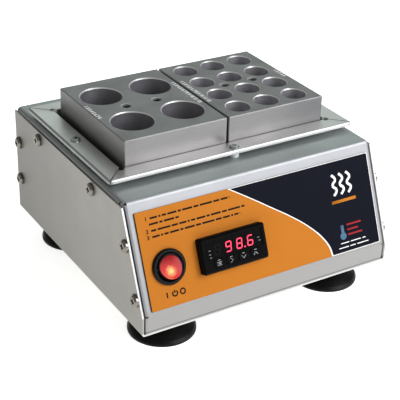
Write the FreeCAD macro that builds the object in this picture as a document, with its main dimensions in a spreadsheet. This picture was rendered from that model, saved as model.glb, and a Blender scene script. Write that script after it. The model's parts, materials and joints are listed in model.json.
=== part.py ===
import FreeCAD
import Part
import os
import re
import Sketcher
from FreeCAD import Placement, Rotation, Vector

# Dry block heater: a folded case with a sloped front, a well pan that carries two drilled blocks,
# a temperature controller, a lit rocker switch and four suction feet.
# Front is -Y, +Z is up, and the origin is on the bench under the middle of the case. Millimetres.

# Driving sizes: name, value, what it measures
SIZES = (
    ("case_width", 192.5, "over both side panels"),
    ("case_depth", 191.3, "lip to back wall"),
    ("case_height", 81.2, "case bottom to deck"),
    ("lip_height", 13.9, "upright strip under the sloped front"),
    ("slope_angle", 22.7, "sloped front, from upright, degrees"),
    ("sheet_thick", 1.2, "case sheet"),
    ("bend_radius", 3.0, "outside of the cover's bends"),
    ("floor_bend", 1.6, "outside of the chassis bends"),
    ("side_gap", 0.1, "between a cover flange and its side panel"),
    ("edge_reveal", 0.3, "side panel edge behind the cover's front and back"),
    ("top_reveal", 2.8, "side panel edge below the deck"),
    ("floor_tab", 1.0, "side panels kept whole above the case's floor"),
    ("flange_width", 14.0, "cover flange behind a side panel"),
    ("relief_width", 2.6, "corner relief cut, along X"),
    ("relief_slit", 1.1, "slit between two cover flanges"),
    ("pan_width", 188.4, "over the pan's flanges"),
    ("pan_depth", 126.1, "over the pan's flanges"),
    ("pan_rise", 6.1, "pan flange above the deck"),
    ("pan_lip", 2.6, "turned-down lip of the pan"),
    ("pan_sheet", 1.0, "pan sheet"),
    ("pan_bend", 1.4, "outside of the pan's lip bend"),
    ("pan_corner", 2.4, "pan corner radius, seen from above"),
    ("mouth_bend", 0.6, "bend from flange into the well"),
    ("mitre_gap", 0.7, "seam between two flanges"),
    ("mitre_hole", 2.6, "corner relief hole, radius"),
    ("well_width", 160.0, "inside of the pan's well"),
    ("well_depth", 100.6, "inside of the pan's well"),
    ("deck_clear", 1.0, "deck opening round the well"),
    ("spacer_radius", 3.2, "pan spacer"),
    ("spacer_inset_x", 7.1, "side spacers in from the flange edge"),
    ("spacer_inset_y", 4.4, "front and rear spacers in from the flange edge"),
    ("block_width", 76.2, "one block, along X"),
    ("block_depth", 95.25, "one block, along Y"),
    ("block_height", 50.8, "one block"),
    ("block_rise", 24.0, "block top above the deck"),
    ("block_split", 1.3, "gap between the blocks"),
    ("block_gap", 0.25, "gap to the well's front wall"),
    ("block_edge", 0.5, "chamfer on the block's edges"),
    ("large_radius", 14.3, "large tube well"),
    ("large_pitch_x", 38.1, "large wells"),
    ("large_pitch_y", 45.0, "large wells"),
    ("small_radius", 8.4, "small tube well"),
    ("small_pitch_x", 22.8, "small wells"),
    ("small_pitch_y", 23.1, "small wells"),
    ("mouth_chamfer", 0.8, "chamfer at a well's mouth"),
    ("tube_depth", 45.0, "depth of a tube well"),
    ("tip_share", 0.6, "height of the well's conical end over its radius"),
    ("drill_over", 0.3, "well profile carried past the block's top"),
    ("service_radius", 3.15, "thermometer and lifting holes"),
    ("service_pitch", 23.2, "between those holes"),
    ("service_depth", 38.0, "depth of those holes"),
    ("label_width", 180.0, "front label"),
    ("label_shift", 0.5, "label's middle right of the case's middle"),
    ("label_top", 7.8, "label's top edge down the slope"),
    ("label_bottom", 70.9, "label's bottom edge down the slope"),
    ("label_thick", 0.8, "label plate"),
    ("label_corner", 1.0, "label corner radius"),
    ("switch_x", -72.5, "switch centre"),
    ("switch_down", 45.6, "switch centre down the slope"),
    ("switch_bezel", 11.6, "switch bezel radius"),
    ("switch_barrel", 10.0, "switch barrel radius"),
    ("switch_hole", 10.2, "panel hole radius"),
    ("switch_proud", 2.2, "bezel above the label"),
    ("switch_deep", 16.0, "barrel behind the panel"),
    ("socket_radius", 9.0, "recess round the rocker"),
    ("socket_floor", 5.0, "recess floor behind the panel"),
    ("rocker_radius", 8.2, "rocker"),
    ("rocker_pivot", 1.6, "pivot in front of the panel"),
    ("rocker_crest", 2.2, "middle of the rocker's face above its pivot"),
    ("rocker_root", 4.0, "rocker below its pivot"),
    ("rocker_rise", 1.45, "ends of the hollow face above its middle"),
    ("rocker_edge", 0.4, "rounding round the rocker's face"),
    ("rocker_tilt", 12.0, "rocker from level, each way, degrees"),
    ("trunnion_radius", 1.0, "rocker's pivot pins"),
    ("trunnion_reach", 9.7, "end of a pivot pin from the middle"),
    ("bearing_clear", 0.25, "round a pivot pin"),
    ("switch_chamfer", 0.9, "bezel's outer chamfer"),
    ("socket_chamfer", 0.5, "bezel's inner chamfer"),
    ("lug_thick", 0.8, "spade lug"),
    ("lug_width", 6.3, "spade lug"),
    ("lug_length", 9.0, "spade lug"),
    ("lug_pitch", 5.0, "between the switch's lugs"),
    ("lug_step", 2.0, "outer switch lugs above the middle one"),
    ("control_x", -26.8, "controller centre"),
    ("control_down", 45.4, "controller centre down the slope"),
    ("control_width", 49.0, "controller bezel"),
    ("control_high", 23.6, "controller bezel"),
    ("control_proud", 5.5, "bezel above the label"),
    ("control_corner", 1.8, "bezel corner radius"),
    ("control_chamfer", 1.2, "bezel's front chamfer"),
    ("control_body_width", 45.0, "controller housing"),
    ("control_body_high", 21.6, "controller housing"),
    ("control_deep", 60.0, "housing behind the panel"),
    ("control_clear", 0.3, "panel cut-out round the housing"),
    ("window_width", 43.0, "display window"),
    ("window_high", 11.2, "display window"),
    ("window_up", 3.4, "window centre above the bezel's centre"),
    ("window_thick", 1.6, "window plate"),
    ("window_sink", 0.5, "window below the bezel's face"),
    ("window_gap", 0.1, "round the window"),
    ("key_pitch", 9.1, "between keys"),
    ("key_width", 7.0, "key cap"),
    ("key_high", 4.6, "key cap"),
    ("key_down", 5.7, "key centres below the bezel's centre"),
    ("key_shift_x", 0.7, "middle of the key row from the bezel's centre"),
    ("key_gap", 0.25, "round each key"),
    ("key_proud", 0.4, "key above the bezel's face"),
    ("key_root", 2.0, "key below the bezel's face"),
    ("key_pit", 3.2, "key hole depth"),
    ("key_chamfer", 0.3, "key cap's edge"),
    ("clip_wall", 3.4, "controller clip"),
    ("clip_length", 9.0, "controller clip"),
    ("clip_gap", 0.2, "controller clip round the housing"),
    ("inlet_x", 52.0, "mains inlet centre"),
    ("inlet_drop", 43.0, "mains inlet centre below the deck"),
    ("inlet_width", 50.0, "inlet flange"),
    ("inlet_high", 36.0, "inlet flange"),
    ("inlet_proud", 3.2, "inlet flange behind the back wall"),
    ("inlet_body_width", 29.0, "inlet body"),
    ("inlet_body_high", 31.0, "inlet body"),
    ("inlet_deep", 22.0, "inlet body inside the case"),
    ("inlet_corner", 3.0, "flange corner radius"),
    ("inlet_round", 0.8, "flange edge radius"),
    ("inlet_clear", 0.3, "back wall cut-out round the body"),
    ("inlet_sink", 1.0, "inlet flange centre below the inlet's centre"),
    ("seat_radius", 3.1, "screw seat in the flange"),
    ("seat_deep", 2.0, "screw seat in the flange"),
    ("plug_width", 24.4, "inlet socket"),
    ("plug_high", 15.8, "inlet socket"),
    ("plug_cant", 5.0, "socket's cut corners"),
    ("plug_deep", 19.0, "inlet socket"),
    ("plug_up", 6.0, "socket centre above the inlet's centre"),
    ("blade_thick", 2.0, "inlet blade"),
    ("blade_high", 4.0, "inlet blade"),
    ("blade_pitch", 7.0, "outer blades from the middle"),
    ("blade_gap", 0.1, "slot round a blade"),
    ("blade_sink", 5.0, "blade tip inside the socket's mouth"),
    ("blade_lift", 2.0, "earth blade above the socket's centre, the others below"),
    ("spade_length", 8.0, "blade behind the body"),
    ("drawer_width", 21.4, "fuse drawer"),
    ("drawer_high", 6.9, "fuse drawer"),
    ("drawer_deep", 18.5, "drawer inside the back wall"),
    ("drawer_gap", 0.3, "round the drawer"),
    ("drawer_drop", 10.0, "drawer centre below the inlet's centre"),
    ("drawer_floor", 1.0, "drawer floor, and the slot beyond the drawer's end"),
    ("grip_width", 9.0, "finger notch in the drawer"),
    ("grip_deep", 0.8, "finger notch in the drawer"),
    ("grip_high", 2.4, "finger notch in the drawer"),
    ("fuse_radius", 2.5, "fuse"),
    ("fuse_length", 20.0, "fuse"),
    ("fuse_in", 10.0, "fuse inside the back wall"),
    ("fuse_clear", 0.2, "along each end of the fuse"),
    ("fuse_lift", 0.05, "fuse above the drawer floor"),
    ("inlet_screw_pitch", 40.0, "inlet screws"),
    ("foot_height", 19.3, "suction foot"),
    ("foot_radius", 23.0, "foot rim"),
    ("foot_x", 66.4, "foot centres from the middle"),
    ("foot_inset", 28.2, "foot centres in from the lip and the back"),
    ("foot_neck", 7.5, "foot neck radius"),
    ("foot_rim", 1.6, "width of the rim on the bench"),
    ("foot_neck_low", 13.0, "bottom of the straight neck"),
    ("foot_shoulder", 9.5, "shoulder radius under the neck"),
    ("foot_shoulder_low", 11.0, "shoulder above the bench"),
    ("foot_edge_in", 1.2, "bell's lower edge in from the rim"),
    ("foot_edge_high", 3.4, "bell's lower edge above the bench"),
    ("foot_rim_high", 1.6, "upright band at the rim"),
    ("foot_round", 1.5, "neck and shoulder radius"),
    ("cup_radius", 9.0, "flatter middle of the underside"),
    ("cup_high", 5.6, "edge of that middle above the bench"),
    ("cup_crown", 6.4, "underside's crown above the bench"),
    ("foot_stud", 2.45, "foot stud radius"),
    ("stud_grip", 0.05, "foot's hole over its stud, radius"),
    ("stud_pit", 9.4, "bottom of the stud's hole above the bench"),
    ("stud_start", 9.6, "bottom of the foot stud above the bench"),
    ("stud_end", 7.0, "foot stud above the case's floor"),
    ("heater_width", 142.0, "heater mat and insulation"),
    ("heater_depth", 94.0, "heater mat and insulation"),
    ("mat_thick", 1.6, "heater mat"),
    ("wool_thick", 12.0, "insulation board"),
    ("clamp_width", 158.0, "clamp plate"),
    ("clamp_lip", 6.0, "clamp plate's turned edges"),
    ("stud_x", 75.0, "clamp studs from the middle"),
    ("stud_y", 38.0, "clamp studs from the pan's middle"),
    ("stud_length", 20.0, "clamp stud"),
    ("stud_head", 3.0, "clamp stud's welded end, radius"),
    ("stud_head_thick", 0.9, "clamp stud's welded end"),
    ("clamp_over", 1.0, "clamp plate past the insulation, front and rear"),
    ("probe_radius", 2.0, "temperature probe"),
    ("probe_length", 18.0, "temperature probe"),
    ("probe_x", -20.0, "temperature probe"),
    ("probe_lift", 1.0, "probe's end above the well floor"),
    ("probe_clear", 0.1, "clip round the probe"),
    ("saddle_sheet", 0.8, "probe clip sheet"),
    ("saddle_reach", 8.0, "end of the probe clip from its middle"),
    ("saddle_high", 8.0, "probe clip"),
    ("saddle_lift", 6.0, "probe clip above the well floor"),
    ("cutout_radius", 8.0, "thermal cut-out"),
    ("cutout_high", 9.0, "thermal cut-out"),
    ("cutout_x", -25.0, "thermal cut-out"),
    ("ear_length", 24.0, "cut-out's ears, over both"),
    ("ear_width", 10.0, "cut-out's ears"),
    ("ear_thick", 1.0, "cut-out's ears"),
    ("cutout_lug_x", 4.0, "cut-out's lugs from its middle"),
    ("cutout_lug", 8.0, "cut-out's lugs below its can"),
    ("relay_x", 42.0, "relay centre"),
    ("relay_y", -66.0, "relay centre from the back wall"),
    ("relay_width", 45.0, "relay"),
    ("relay_depth", 58.0, "relay"),
    ("relay_high", 23.0, "relay"),
    ("relay_pitch", 47.6, "relay screws"),
    ("relay_plate", 3.0, "relay base plate"),
    ("relay_inset_x", 1.0, "relay body in from its base, each side"),
    ("relay_inset_y", 9.0, "relay body in from its base, each end"),
    ("relay_lug", 3.2, "relay terminal radius"),
    ("relay_lug_high", 3.0, "relay terminal"),
    ("relay_lug_x", 13.0, "relay terminals from its middle"),
    ("strip_x", -32.0, "terminal strip centre"),
    ("strip_y", -45.0, "terminal strip centre from the back wall"),
    ("strip_pitch", 10.0, "terminal poles"),
    ("strip_depth", 22.0, "terminal strip"),
    ("strip_high", 9.0, "terminal strip floor"),
    ("strip_rib", 14.0, "terminal strip ribs"),
    ("strip_rib_thick", 1.6, "terminal strip ribs"),
    ("strip_length", 62.0, "terminal strip without its ears"),
    ("strip_span", 78.0, "terminal strip over its ears"),
    ("strip_ear_width", 9.0, "terminal strip ears"),
    ("strip_ear_thick", 3.0, "terminal strip ears"),
    ("strip_screw_x", 35.0, "terminal strip screws from its middle"),
    ("pole_width", 7.0, "terminal plate"),
    ("pole_depth", 18.0, "terminal plate"),
    ("earth_x", 80.0, "earth stud"),
    ("earth_y", -20.0, "earth stud from the back wall"),
    ("earth_high", 11.0, "earth stud above the case's floor"),
    ("screw_rear", 6.2, "rear case screws from the back wall"),
    ("screw_drop", 8.8, "top case screws below the deck"),
    ("screw_slope", 4.7, "front case screws behind the sloped front"),
    ("screw_rear_high", 26.1, "upper rear case screw below the deck"),
    ("screw_rear_low", 55.1, "lower rear case screw below the deck"),
    ("screw_top_rear", 41.8, "rear top case screw from the back wall"),
    ("screw_top_front", 40.0, "front top case screw behind the deck's front edge"),
    ("screw_front_high", 26.8, "upper front case screw down the slope"),
    ("screw_front_low", 61.8, "lower front case screw down the slope"),
    ("case_screw", 1.95, "case screw shank radius"),
    ("case_hole", 2.2, "case screw hole radius"),
    ("case_head", 4.4, "case screw head radius"),
    ("case_head_high", 2.6, "case screw head"),
    ("case_screw_length", 9.0, "case screw under its head"),
    ("case_recess", 4.4, "case screw cross recess"),
    ("clinch_radius", 3.2, "clinch nut"),
    ("clinch_high", 2.8, "clinch nut"),
    ("nut_flats", 7.0, "nut on a clamp stud or the earth stud, across flats"),
    ("nut_high", 3.2, "nut on a clamp stud or the earth stud"),
    ("foot_nut_flats", 8.0, "nut on a foot stud, across flats"),
    ("foot_nut_high", 4.0, "nut on a foot stud"),
    ("thread_clear", 0.1, "nut's hole over its screw, radius"),
    ("small_screw", 1.45, "small screw shank radius"),
    ("small_hole", 1.7, "small screw hole radius"),
    ("small_head", 3.4, "pan screw head radius"),
    ("small_head_high", 1.6, "pan screw head"),
    ("small_length", 13.0, "pan screw under its head"),
    ("small_recess", 3.4, "pan screw cross recess"),
    ("stub_head", 2.9, "inlet and floor screw head radius"),
    ("stub_head_high", 1.9, "inlet and floor screw head"),
    ("stub_length", 8.0, "inlet and floor screw under its head"),
    ("stub_recess", 3.2, "inlet and floor screw cross recess"),
    ("small_nut_flats", 5.5, "small nut, across flats"),
    ("small_nut_high", 2.4, "small nut"),
    ("stud_hole", 2.7, "foot stud hole radius"),
)

# Places worked out from the sizes
PLACES = {
    "half_width": "case_width / 2",
    "bottom_z": "foot_height",
    "inner_floor_z": "bottom_z + sheet_thick",
    "deck_z": "foot_height + case_height",
    "front_y": "-(case_depth + inlet_proud) / 2",
    "rear_y": "front_y + case_depth",
    "lip_top_z": "bottom_z + lip_height",
    "slope_tan": "tan(slope_angle * 1 deg)",
    "slope_cos": "cos(slope_angle * 1 deg)",
    "slope_sin": "sin(slope_angle * 1 deg)",
    "half_tan": "tan(slope_angle * 0.5 deg)",
    "deck_front_y": "front_y + (case_height - lip_height) * slope_tan",
    "cover_width": "case_width - 2 * sheet_thick - 2 * side_gap",
    "cover_foot_z": "inner_floor_z + 2 * side_gap",
    "pan_y": "(deck_front_y + rear_y) / 2",
    "pan_top_z": "deck_z + pan_rise",
    "floor_z": "deck_z + block_rise - block_height",
    "block_top_z": "deck_z + block_rise",
    "block_x": "(block_width + block_split) / 2",
    "block_y": "pan_y - well_depth / 2 + block_gap + block_depth / 2",
    "heater_top_z": "floor_z - pan_sheet",
    "clamp_top_z": "heater_top_z - mat_thick - wool_thick",
    "clamp_under_z": "clamp_top_z - sheet_thick",
    "face_z": "label_thick + control_proud",
    "inlet_z": "deck_z - inlet_drop",
    "inlet_mid_z": "inlet_z - inlet_sink",
    "inlet_back_y": "rear_y + inlet_proud",
    "well_back_y": "pan_y + well_depth / 2 + pan_sheet",
    "probe_y": "well_back_y + probe_radius + probe_clear / 2",
    "drawer_z": "inlet_z - drawer_drop",
    "strip_mid_y": "rear_y + strip_y",
    "relay_mid_y": "rear_y + relay_y",
    "side_spacer_x": "pan_width / 2 - spacer_inset_x",
    "end_spacer_y": "pan_depth / 2 - spacer_inset_y",
}

WORD = re.compile(r"[a-z_]*[a-z]")
NAMES = {row[0] for row in SIZES}
AXIS_OF_PLANE = {"XY_Plane": "", "XZ_Plane": "-", "YZ_Plane": ""}
SIDES = (-1, 1)
POLES = 6

doc = FreeCAD.newDocument("dry_block_heater")
dims = doc.addObject("Spreadsheet::Sheet", "Dims")
nodes = []


def fill_sheet():
    """Write the driving sizes into the sheet, one row each."""
    for row, (name, size, note) in enumerate(SIZES, 1):
        dims.set(f"A{row}", name)
        dims.set(f"B{row}", str(size))
        dims.setAlias(f"B{row}", name)
        dims.set(f"C{row}", note)
    doc.recompute()


def bound(text):
    """An expression with each size read from the sheet and each place written out."""

    def swap(found):
        word = found.group(0)
        if word in PLACES:
            return f"({bound(PLACES[word])})"
        return f"Dims.{word}" if word in NAMES else word

    return WORD.sub(swap, str(text))


def value(text):
    """The number that an expression comes to."""
    return float(dims.evalExpression(bound(text)))


def near(first, second):
    return abs(first - second) < 1e-4


def place(obj, x=0, y=0, z=0, axis=(0, 0, 1), angle=0):
    """Bind an object's place and turn to the sheet."""
    obj.Placement = Placement(Vector(), Rotation(Vector(*axis), 1))
    obj.setExpression("Placement.Rotation.Angle", bound(f"({angle}) * 1 deg"))
    for letter, where in zip("xyz", (x, y, z)):
        obj.setExpression(f"Placement.Base.{letter}", bound(where))
    return obj


def new_body(label, node=True):
    """A body that becomes a node of its own, or a pattern piece that groups are made of."""
    body = doc.addObject("PartDesign::Body", label)
    body.Label = label
    if node:
        nodes.append(body)
    return body


def panel_body(label):
    """A body whose own X runs along the sloped front, Y up it and Z out of it."""
    body = new_body(label)
    return place(body, 0, "deck_front_y", "deck_z", (1, 0, 0), "90 - slope_angle")


def rect(x, y, wide, high):
    """Corners of a rectangle about a centre."""
    signs = ((-1, -1), (1, -1), (1, 1), (-1, 1))
    return [(f"{x} + {i} * ({wide}) / 2", f"{y} + {j} * ({high}) / 2") for i, j in signs]


def add_outline(sketch, points):
    """A closed outline whose corners are bound to the sheet."""
    first = sketch.GeometryCount
    count = len(points)
    spots = [(value(x), value(y)) for x, y in points]
    for i, spot in enumerate(spots):
        after = spots[(i + 1) % count]
        sketch.addGeometry(Part.LineSegment(Vector(*spot, 0), Vector(*after, 0)), False)
    for i in range(count):
        after = first + (i + 1) % count
        sketch.addConstraint(Sketcher.Constraint("Coincident", first + i, 2, after, 1))
    for i, (corner, spot) in enumerate(zip(points, spots)):
        for kind, text, number in zip(("DistanceX", "DistanceY"), corner, spot):
            at = sketch.addConstraint(Sketcher.Constraint(kind, -1, 1, first + i, 1, number))
            sketch.setExpression(f"Constraints[{at}]", bound(text))


def add_circle(sketch, x, y, radius):
    """A circle whose centre and radius are bound to the sheet."""
    centre = Vector(value(x), value(y), 0)
    ring = sketch.addGeometry(Part.Circle(centre, Vector(0, 0, 1), value(radius)), False)
    for kind, text, number in (("DistanceX", x, centre.x), ("DistanceY", y, centre.y)):
        at = sketch.addConstraint(Sketcher.Constraint(kind, -1, 1, ring, 3, number))
        sketch.setExpression(f"Constraints[{at}]", bound(text))
    at = sketch.addConstraint(Sketcher.Constraint("Radius", ring, value(radius)))
    sketch.setExpression(f"Constraints[{at}]", bound(radius))


def origin_of(body, role):
    """One of the body's own planes or axes."""
    return next(f for f in body.Origin.OriginFeatures if f.Role == role)


def draw(body, name, role, at="0", outlines=(), circles=(), across="0", on_slope=False):
    """A sketch on one of the body's planes, moved along its normal, or on the sloped front."""
    sketch = body.newObject("Sketcher::SketchObject", f"{body.Name}_{name}")
    sketch.AttachmentSupport = [(origin_of(body, role), "")]
    sketch.MapMode = "FlatFace"
    if on_slope:
        sketch.AttachmentOffset = Placement(Vector(), Rotation(Vector(1, 0, 0), 1))
        sketch.setExpression("AttachmentOffset.Rotation.Angle", bound("(90 - slope_angle) * 1 deg"))
        sketch.setExpression("AttachmentOffset.Base.y", bound("deck_front_y"))
        sketch.setExpression("AttachmentOffset.Base.z", bound("deck_z"))
    else:
        sketch.setExpression("AttachmentOffset.Base.x", bound(across))
        sketch.setExpression("AttachmentOffset.Base.z", bound(f"{AXIS_OF_PLANE[role]}({at})"))
    for points in outlines:
        add_outline(sketch, points)
    for x, y, radius in circles:
        add_circle(sketch, x, y, radius)
    return sketch


def settled(feature):
    """Recompute, and stop if the feature failed."""
    doc.recompute()
    if {"Invalid", "Error"} & set(feature.State):
        raise RuntimeError(f"{feature.Name} failed")
    return feature


def extrude(body, kind, sketch, length, flip=False, both=False):
    """A pad or a pocket of a sketch; flip turns it round and both runs it either side."""
    before = body.Shape.Volume if body.Tip else 0
    feature = body.newObject(f"PartDesign::{kind}", f"{sketch.Name}_{kind}")
    feature.Profile = sketch
    feature.setExpression("Length", bound(length))
    feature.Reversed = flip
    if both:
        feature.SideType = "Symmetric"
    settled(feature)
    after = body.Shape.Volume
    if kind == "Pocket" and not 0 < after < before - 1e-6:
        raise RuntimeError(f"{feature.Name} cuts nothing")
    return feature


def pad(body, sketch, length, flip=False, both=False):
    return extrude(body, "Pad", sketch, length, flip, both)


def pocket(body, sketch, length, flip=False, both=False):
    return extrude(body, "Pocket", sketch, length, flip, both)


def turn(body, kind, sketch):
    """A revolved solid or groove about the sketch's upright axis."""
    feature = body.newObject(f"PartDesign::{kind}", f"{sketch.Name}_{kind}")
    feature.Profile = sketch
    feature.ReferenceAxis = (sketch, ["V_Axis"])
    feature.Angle = 360
    return settled(feature)


def edges_where(feature, test):
    """Names of the edges whose box passes a test."""
    boxes = (edge.BoundBox for edge in feature.Shape.Edges)
    return [f"Edge{i}" for i, box in enumerate(boxes, 1) if test(box)]


def dress(body, kind, base, test, size):
    """A fillet or chamfer on the edges whose box passes a test."""
    feature = body.newObject(f"PartDesign::{kind}", f"{base.Name}_{kind}")
    feature.Base = (base, edges_where(base, test))
    feature.setExpression("Radius" if kind == "Fillet" else "Size", bound(size))
    return settled(feature)


def mirror(body, features):
    """Features repeated on the other side of the body's middle plane."""
    feature = body.newObject("PartDesign::Mirrored", f"{features[0].Name}_Mirrored")
    feature.Originals = features
    feature.MirrorPlane = (origin_of(body, "YZ_Plane"), [""])
    body.Tip = feature
    return settled(feature)


def row_of(body, name, role, pitch, count):
    """A straight row along one of the body's axes."""
    row = body.newObject("PartDesign::LinearPattern", name)
    row.Direction = (origin_of(body, role), [""])
    row.Mode = "Spacing"
    row.setExpression("Offset", bound(pitch))
    row.Occurrences = count
    return row


def grid(body, feature, along_x, along_y):
    """A feature repeated in rows and columns: each way is a pitch and a count."""
    both = body.newObject("PartDesign::MultiTransform", f"{feature.Name}_grid")
    both.Originals = [feature]
    ways = zip(("X_Axis", "Y_Axis"), (along_x, along_y))
    both.Transformations = [row_of(body, f"{feature.Name}_{role}", role, *way) for role, way in ways]
    body.Tip = both
    return settled(both)


def box(label, wide, deep, high, x, y, z, node=True):
    """A plain box, centred along X and Y and standing on z."""
    shape = doc.addObject("Part::Box", label)
    shape.Label = label
    for letter, size in zip(("Length", "Width", "Height"), (wide, deep, high)):
        shape.setExpression(letter, bound(size))
    place(shape, f"{x} - ({wide}) / 2", f"{y} - ({deep}) / 2", z)
    if node:
        nodes.append(shape)
    return shape


def rod(label, radius, length, x, y, z, axis=(0, 0, 1), angle=0, node=True):
    """A plain cylinder from a point, upright unless it is turned."""
    shape = doc.addObject("Part::Cylinder", label)
    shape.Label = label
    shape.setExpression("Radius", bound(radius))
    shape.setExpression("Height", bound(length))
    place(shape, x, y, z, axis, angle)
    if node:
        nodes.append(shape)
    return shape


def joined(label, pieces):
    """One node made of touching simple shapes."""
    shape = doc.addObject("Part::MultiFuse", label)
    shape.Label = label
    shape.Shapes = pieces
    shape.Refine = True
    nodes.append(shape)
    return settled(shape)


def group(label, pattern, places):
    """One node of separate like pieces: each place is x, y, z, an axis and a turn."""
    links = []
    for number, spot in enumerate(places, 1):
        link = doc.addObject("App::Link", f"{label}_{number}")
        link.LinkedObject = pattern
        links.append(place(link, *spot))
    shape = doc.addObject("Part::Compound", label)
    shape.Label = label
    shape.Links = links
    nodes.append(shape)
    return settled(shape)


# Fasteners that the groups repeat


def pan_screw(label, head_radius, head_high, shank_radius, length, recess):
    """A round-headed screw with a cross recess; its seat is at the origin and it points down."""
    body = new_body(label, node=False)
    rim = f"0.55 * {head_high}"
    crown = f"0.72 * {head_radius}"
    profile = [("0", head_high), (crown, head_high), (head_radius, rim), (head_radius, "0"),
               (shank_radius, "0"), (shank_radius, f"-{length}"), ("0", f"-{length}")]
    turn(body, "Revolution", draw(body, "profile", "XZ_Plane", outlines=[profile]))
    arm, slot = f"{recess} / 2", f"{recess} / 7"
    cross = [(slot, arm), (slot, slot), (arm, slot), (arm, f"-{slot}"), (slot, f"-{slot}"),
             (slot, f"-{arm}"), (f"-{slot}", f"-{arm}"), (f"-{slot}", f"-{slot}"),
             (f"-{arm}", f"-{slot}"), (f"-{arm}", slot), (f"-{slot}", slot), (f"-{slot}", arm)]
    pocket(body, draw(body, "recess", "XY_Plane", head_high, [cross]), f"0.6 * {head_high}")
    return body


def hex_nut(label, flats, high, bore):
    """A hexagon nut standing on the origin."""
    body = new_body(label, node=False)
    corners = [(f"{flats} / sqrt(3) * cos({turn_by} deg)", f"{flats} / sqrt(3) * sin({turn_by} deg)")
               for turn_by in range(0, 360, 60)]
    pad(body, draw(body, "plan", "XY_Plane", outlines=[corners], circles=[("0", "0", bore)]), high)
    return body


def collar(label, outer, bore, high):
    """A plain ring standing on the origin."""
    body = new_body(label, node=False)
    rings = [("0", "0", outer), ("0", "0", bore)]
    pad(body, draw(body, "plan", "XY_Plane", circles=rings), high)
    return body


# Case


def slope_offset(inset):
    """Corners of the case's side view moved inwards: back, deck, sloped front and lip."""
    return {
        "rear": f"rear_y - {inset}",
        "deck": f"deck_z - {inset}",
        "deck_front": f"deck_front_y + {inset} * slope_cos / (1 + slope_sin)",
        "lip": f"front_y + {inset}",
        "lip_top": f"lip_top_z - {inset} * half_tan",
    }


def side_screw_spots():
    """Case screws of one side, as Y and Z."""
    front = [(f"deck_front_y - {down} * slope_sin + screw_slope * slope_cos",
              f"deck_z - {down} * slope_cos - screw_slope * slope_sin")
             for down in ("screw_front_high", "screw_front_low")]
    rear = [("rear_y - screw_rear", f"deck_z - {low}") for low in ("screw_rear_high", "screw_rear_low")]
    top = [(y, "deck_z - screw_drop")
           for y in ("rear_y - screw_top_rear", "deck_front_y + screw_top_front")]
    return rear + top + front


def foot_spots():
    return [(f"{side} * foot_x", y)
            for y in ("front_y + foot_inset", "rear_y - foot_inset") for side in SIDES]


def relay_screw_spots():
    return [("relay_x", f"relay_mid_y + {side} * relay_pitch / 2") for side in SIDES]


def strip_screw_spots():
    return [(f"strip_x + {side} * strip_screw_x", "strip_mid_y") for side in SIDES]


def make_chassis():
    """Bottom and both sides in one folded sheet, the sides trimmed to the sloped front."""
    body = new_body("base_chassis")
    top, inner = "deck_z - top_reveal", "half_width - sheet_thick"
    trough = [("-half_width", top), ("-half_width", "bottom_z"), ("half_width", "bottom_z"),
              ("half_width", top), (inner, top), (inner, "inner_floor_z"),
              (f"-({inner})", "inner_floor_z"), (f"-({inner})", top)]
    folded = pad(body, draw(body, "fold", "XZ_Plane", "rear_y", [trough]), "case_depth")
    low = value("bottom_z")
    folded = dress(body, "Fillet", folded, lambda b: near(b.ZMax, low) and near(b.XLength, 0), "floor_bend")
    edge = slope_offset("edge_reveal")
    tab = "inner_floor_z + floor_tab"
    ahead = [("front_y - 1", "deck_z + 1"),
             (f"{edge['lip']} + (deck_z + 1 - ({edge['lip_top']})) * slope_tan", "deck_z + 1"),
             (edge["lip"], edge["lip_top"]), (edge["lip"], tab), ("front_y - 1", tab)]
    behind = [(edge["rear"], tab), ("rear_y + 1", tab), ("rear_y + 1", "deck_z"), (edge["rear"], "deck_z")]
    pocket(body, draw(body, "trim", "YZ_Plane", outlines=[ahead, behind]), "2 * case_width", both=True)
    holes = [(y, z, "case_hole") for y, z in side_screw_spots()]
    pocket(body, draw(body, "side_holes", "YZ_Plane", circles=holes), "2 * case_width", both=True)
    holes = [(x, y, "stud_hole") for x, y in foot_spots()]
    holes += [(x, y, "small_hole") for x, y in relay_screw_spots() + strip_screw_spots()]
    holes.append(("earth_x", "rear_y + earth_y", "case_hole"))
    pocket(body, draw(body, "floor_holes", "XY_Plane", "inner_floor_z", circles=holes), "sheet_thick")


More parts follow.
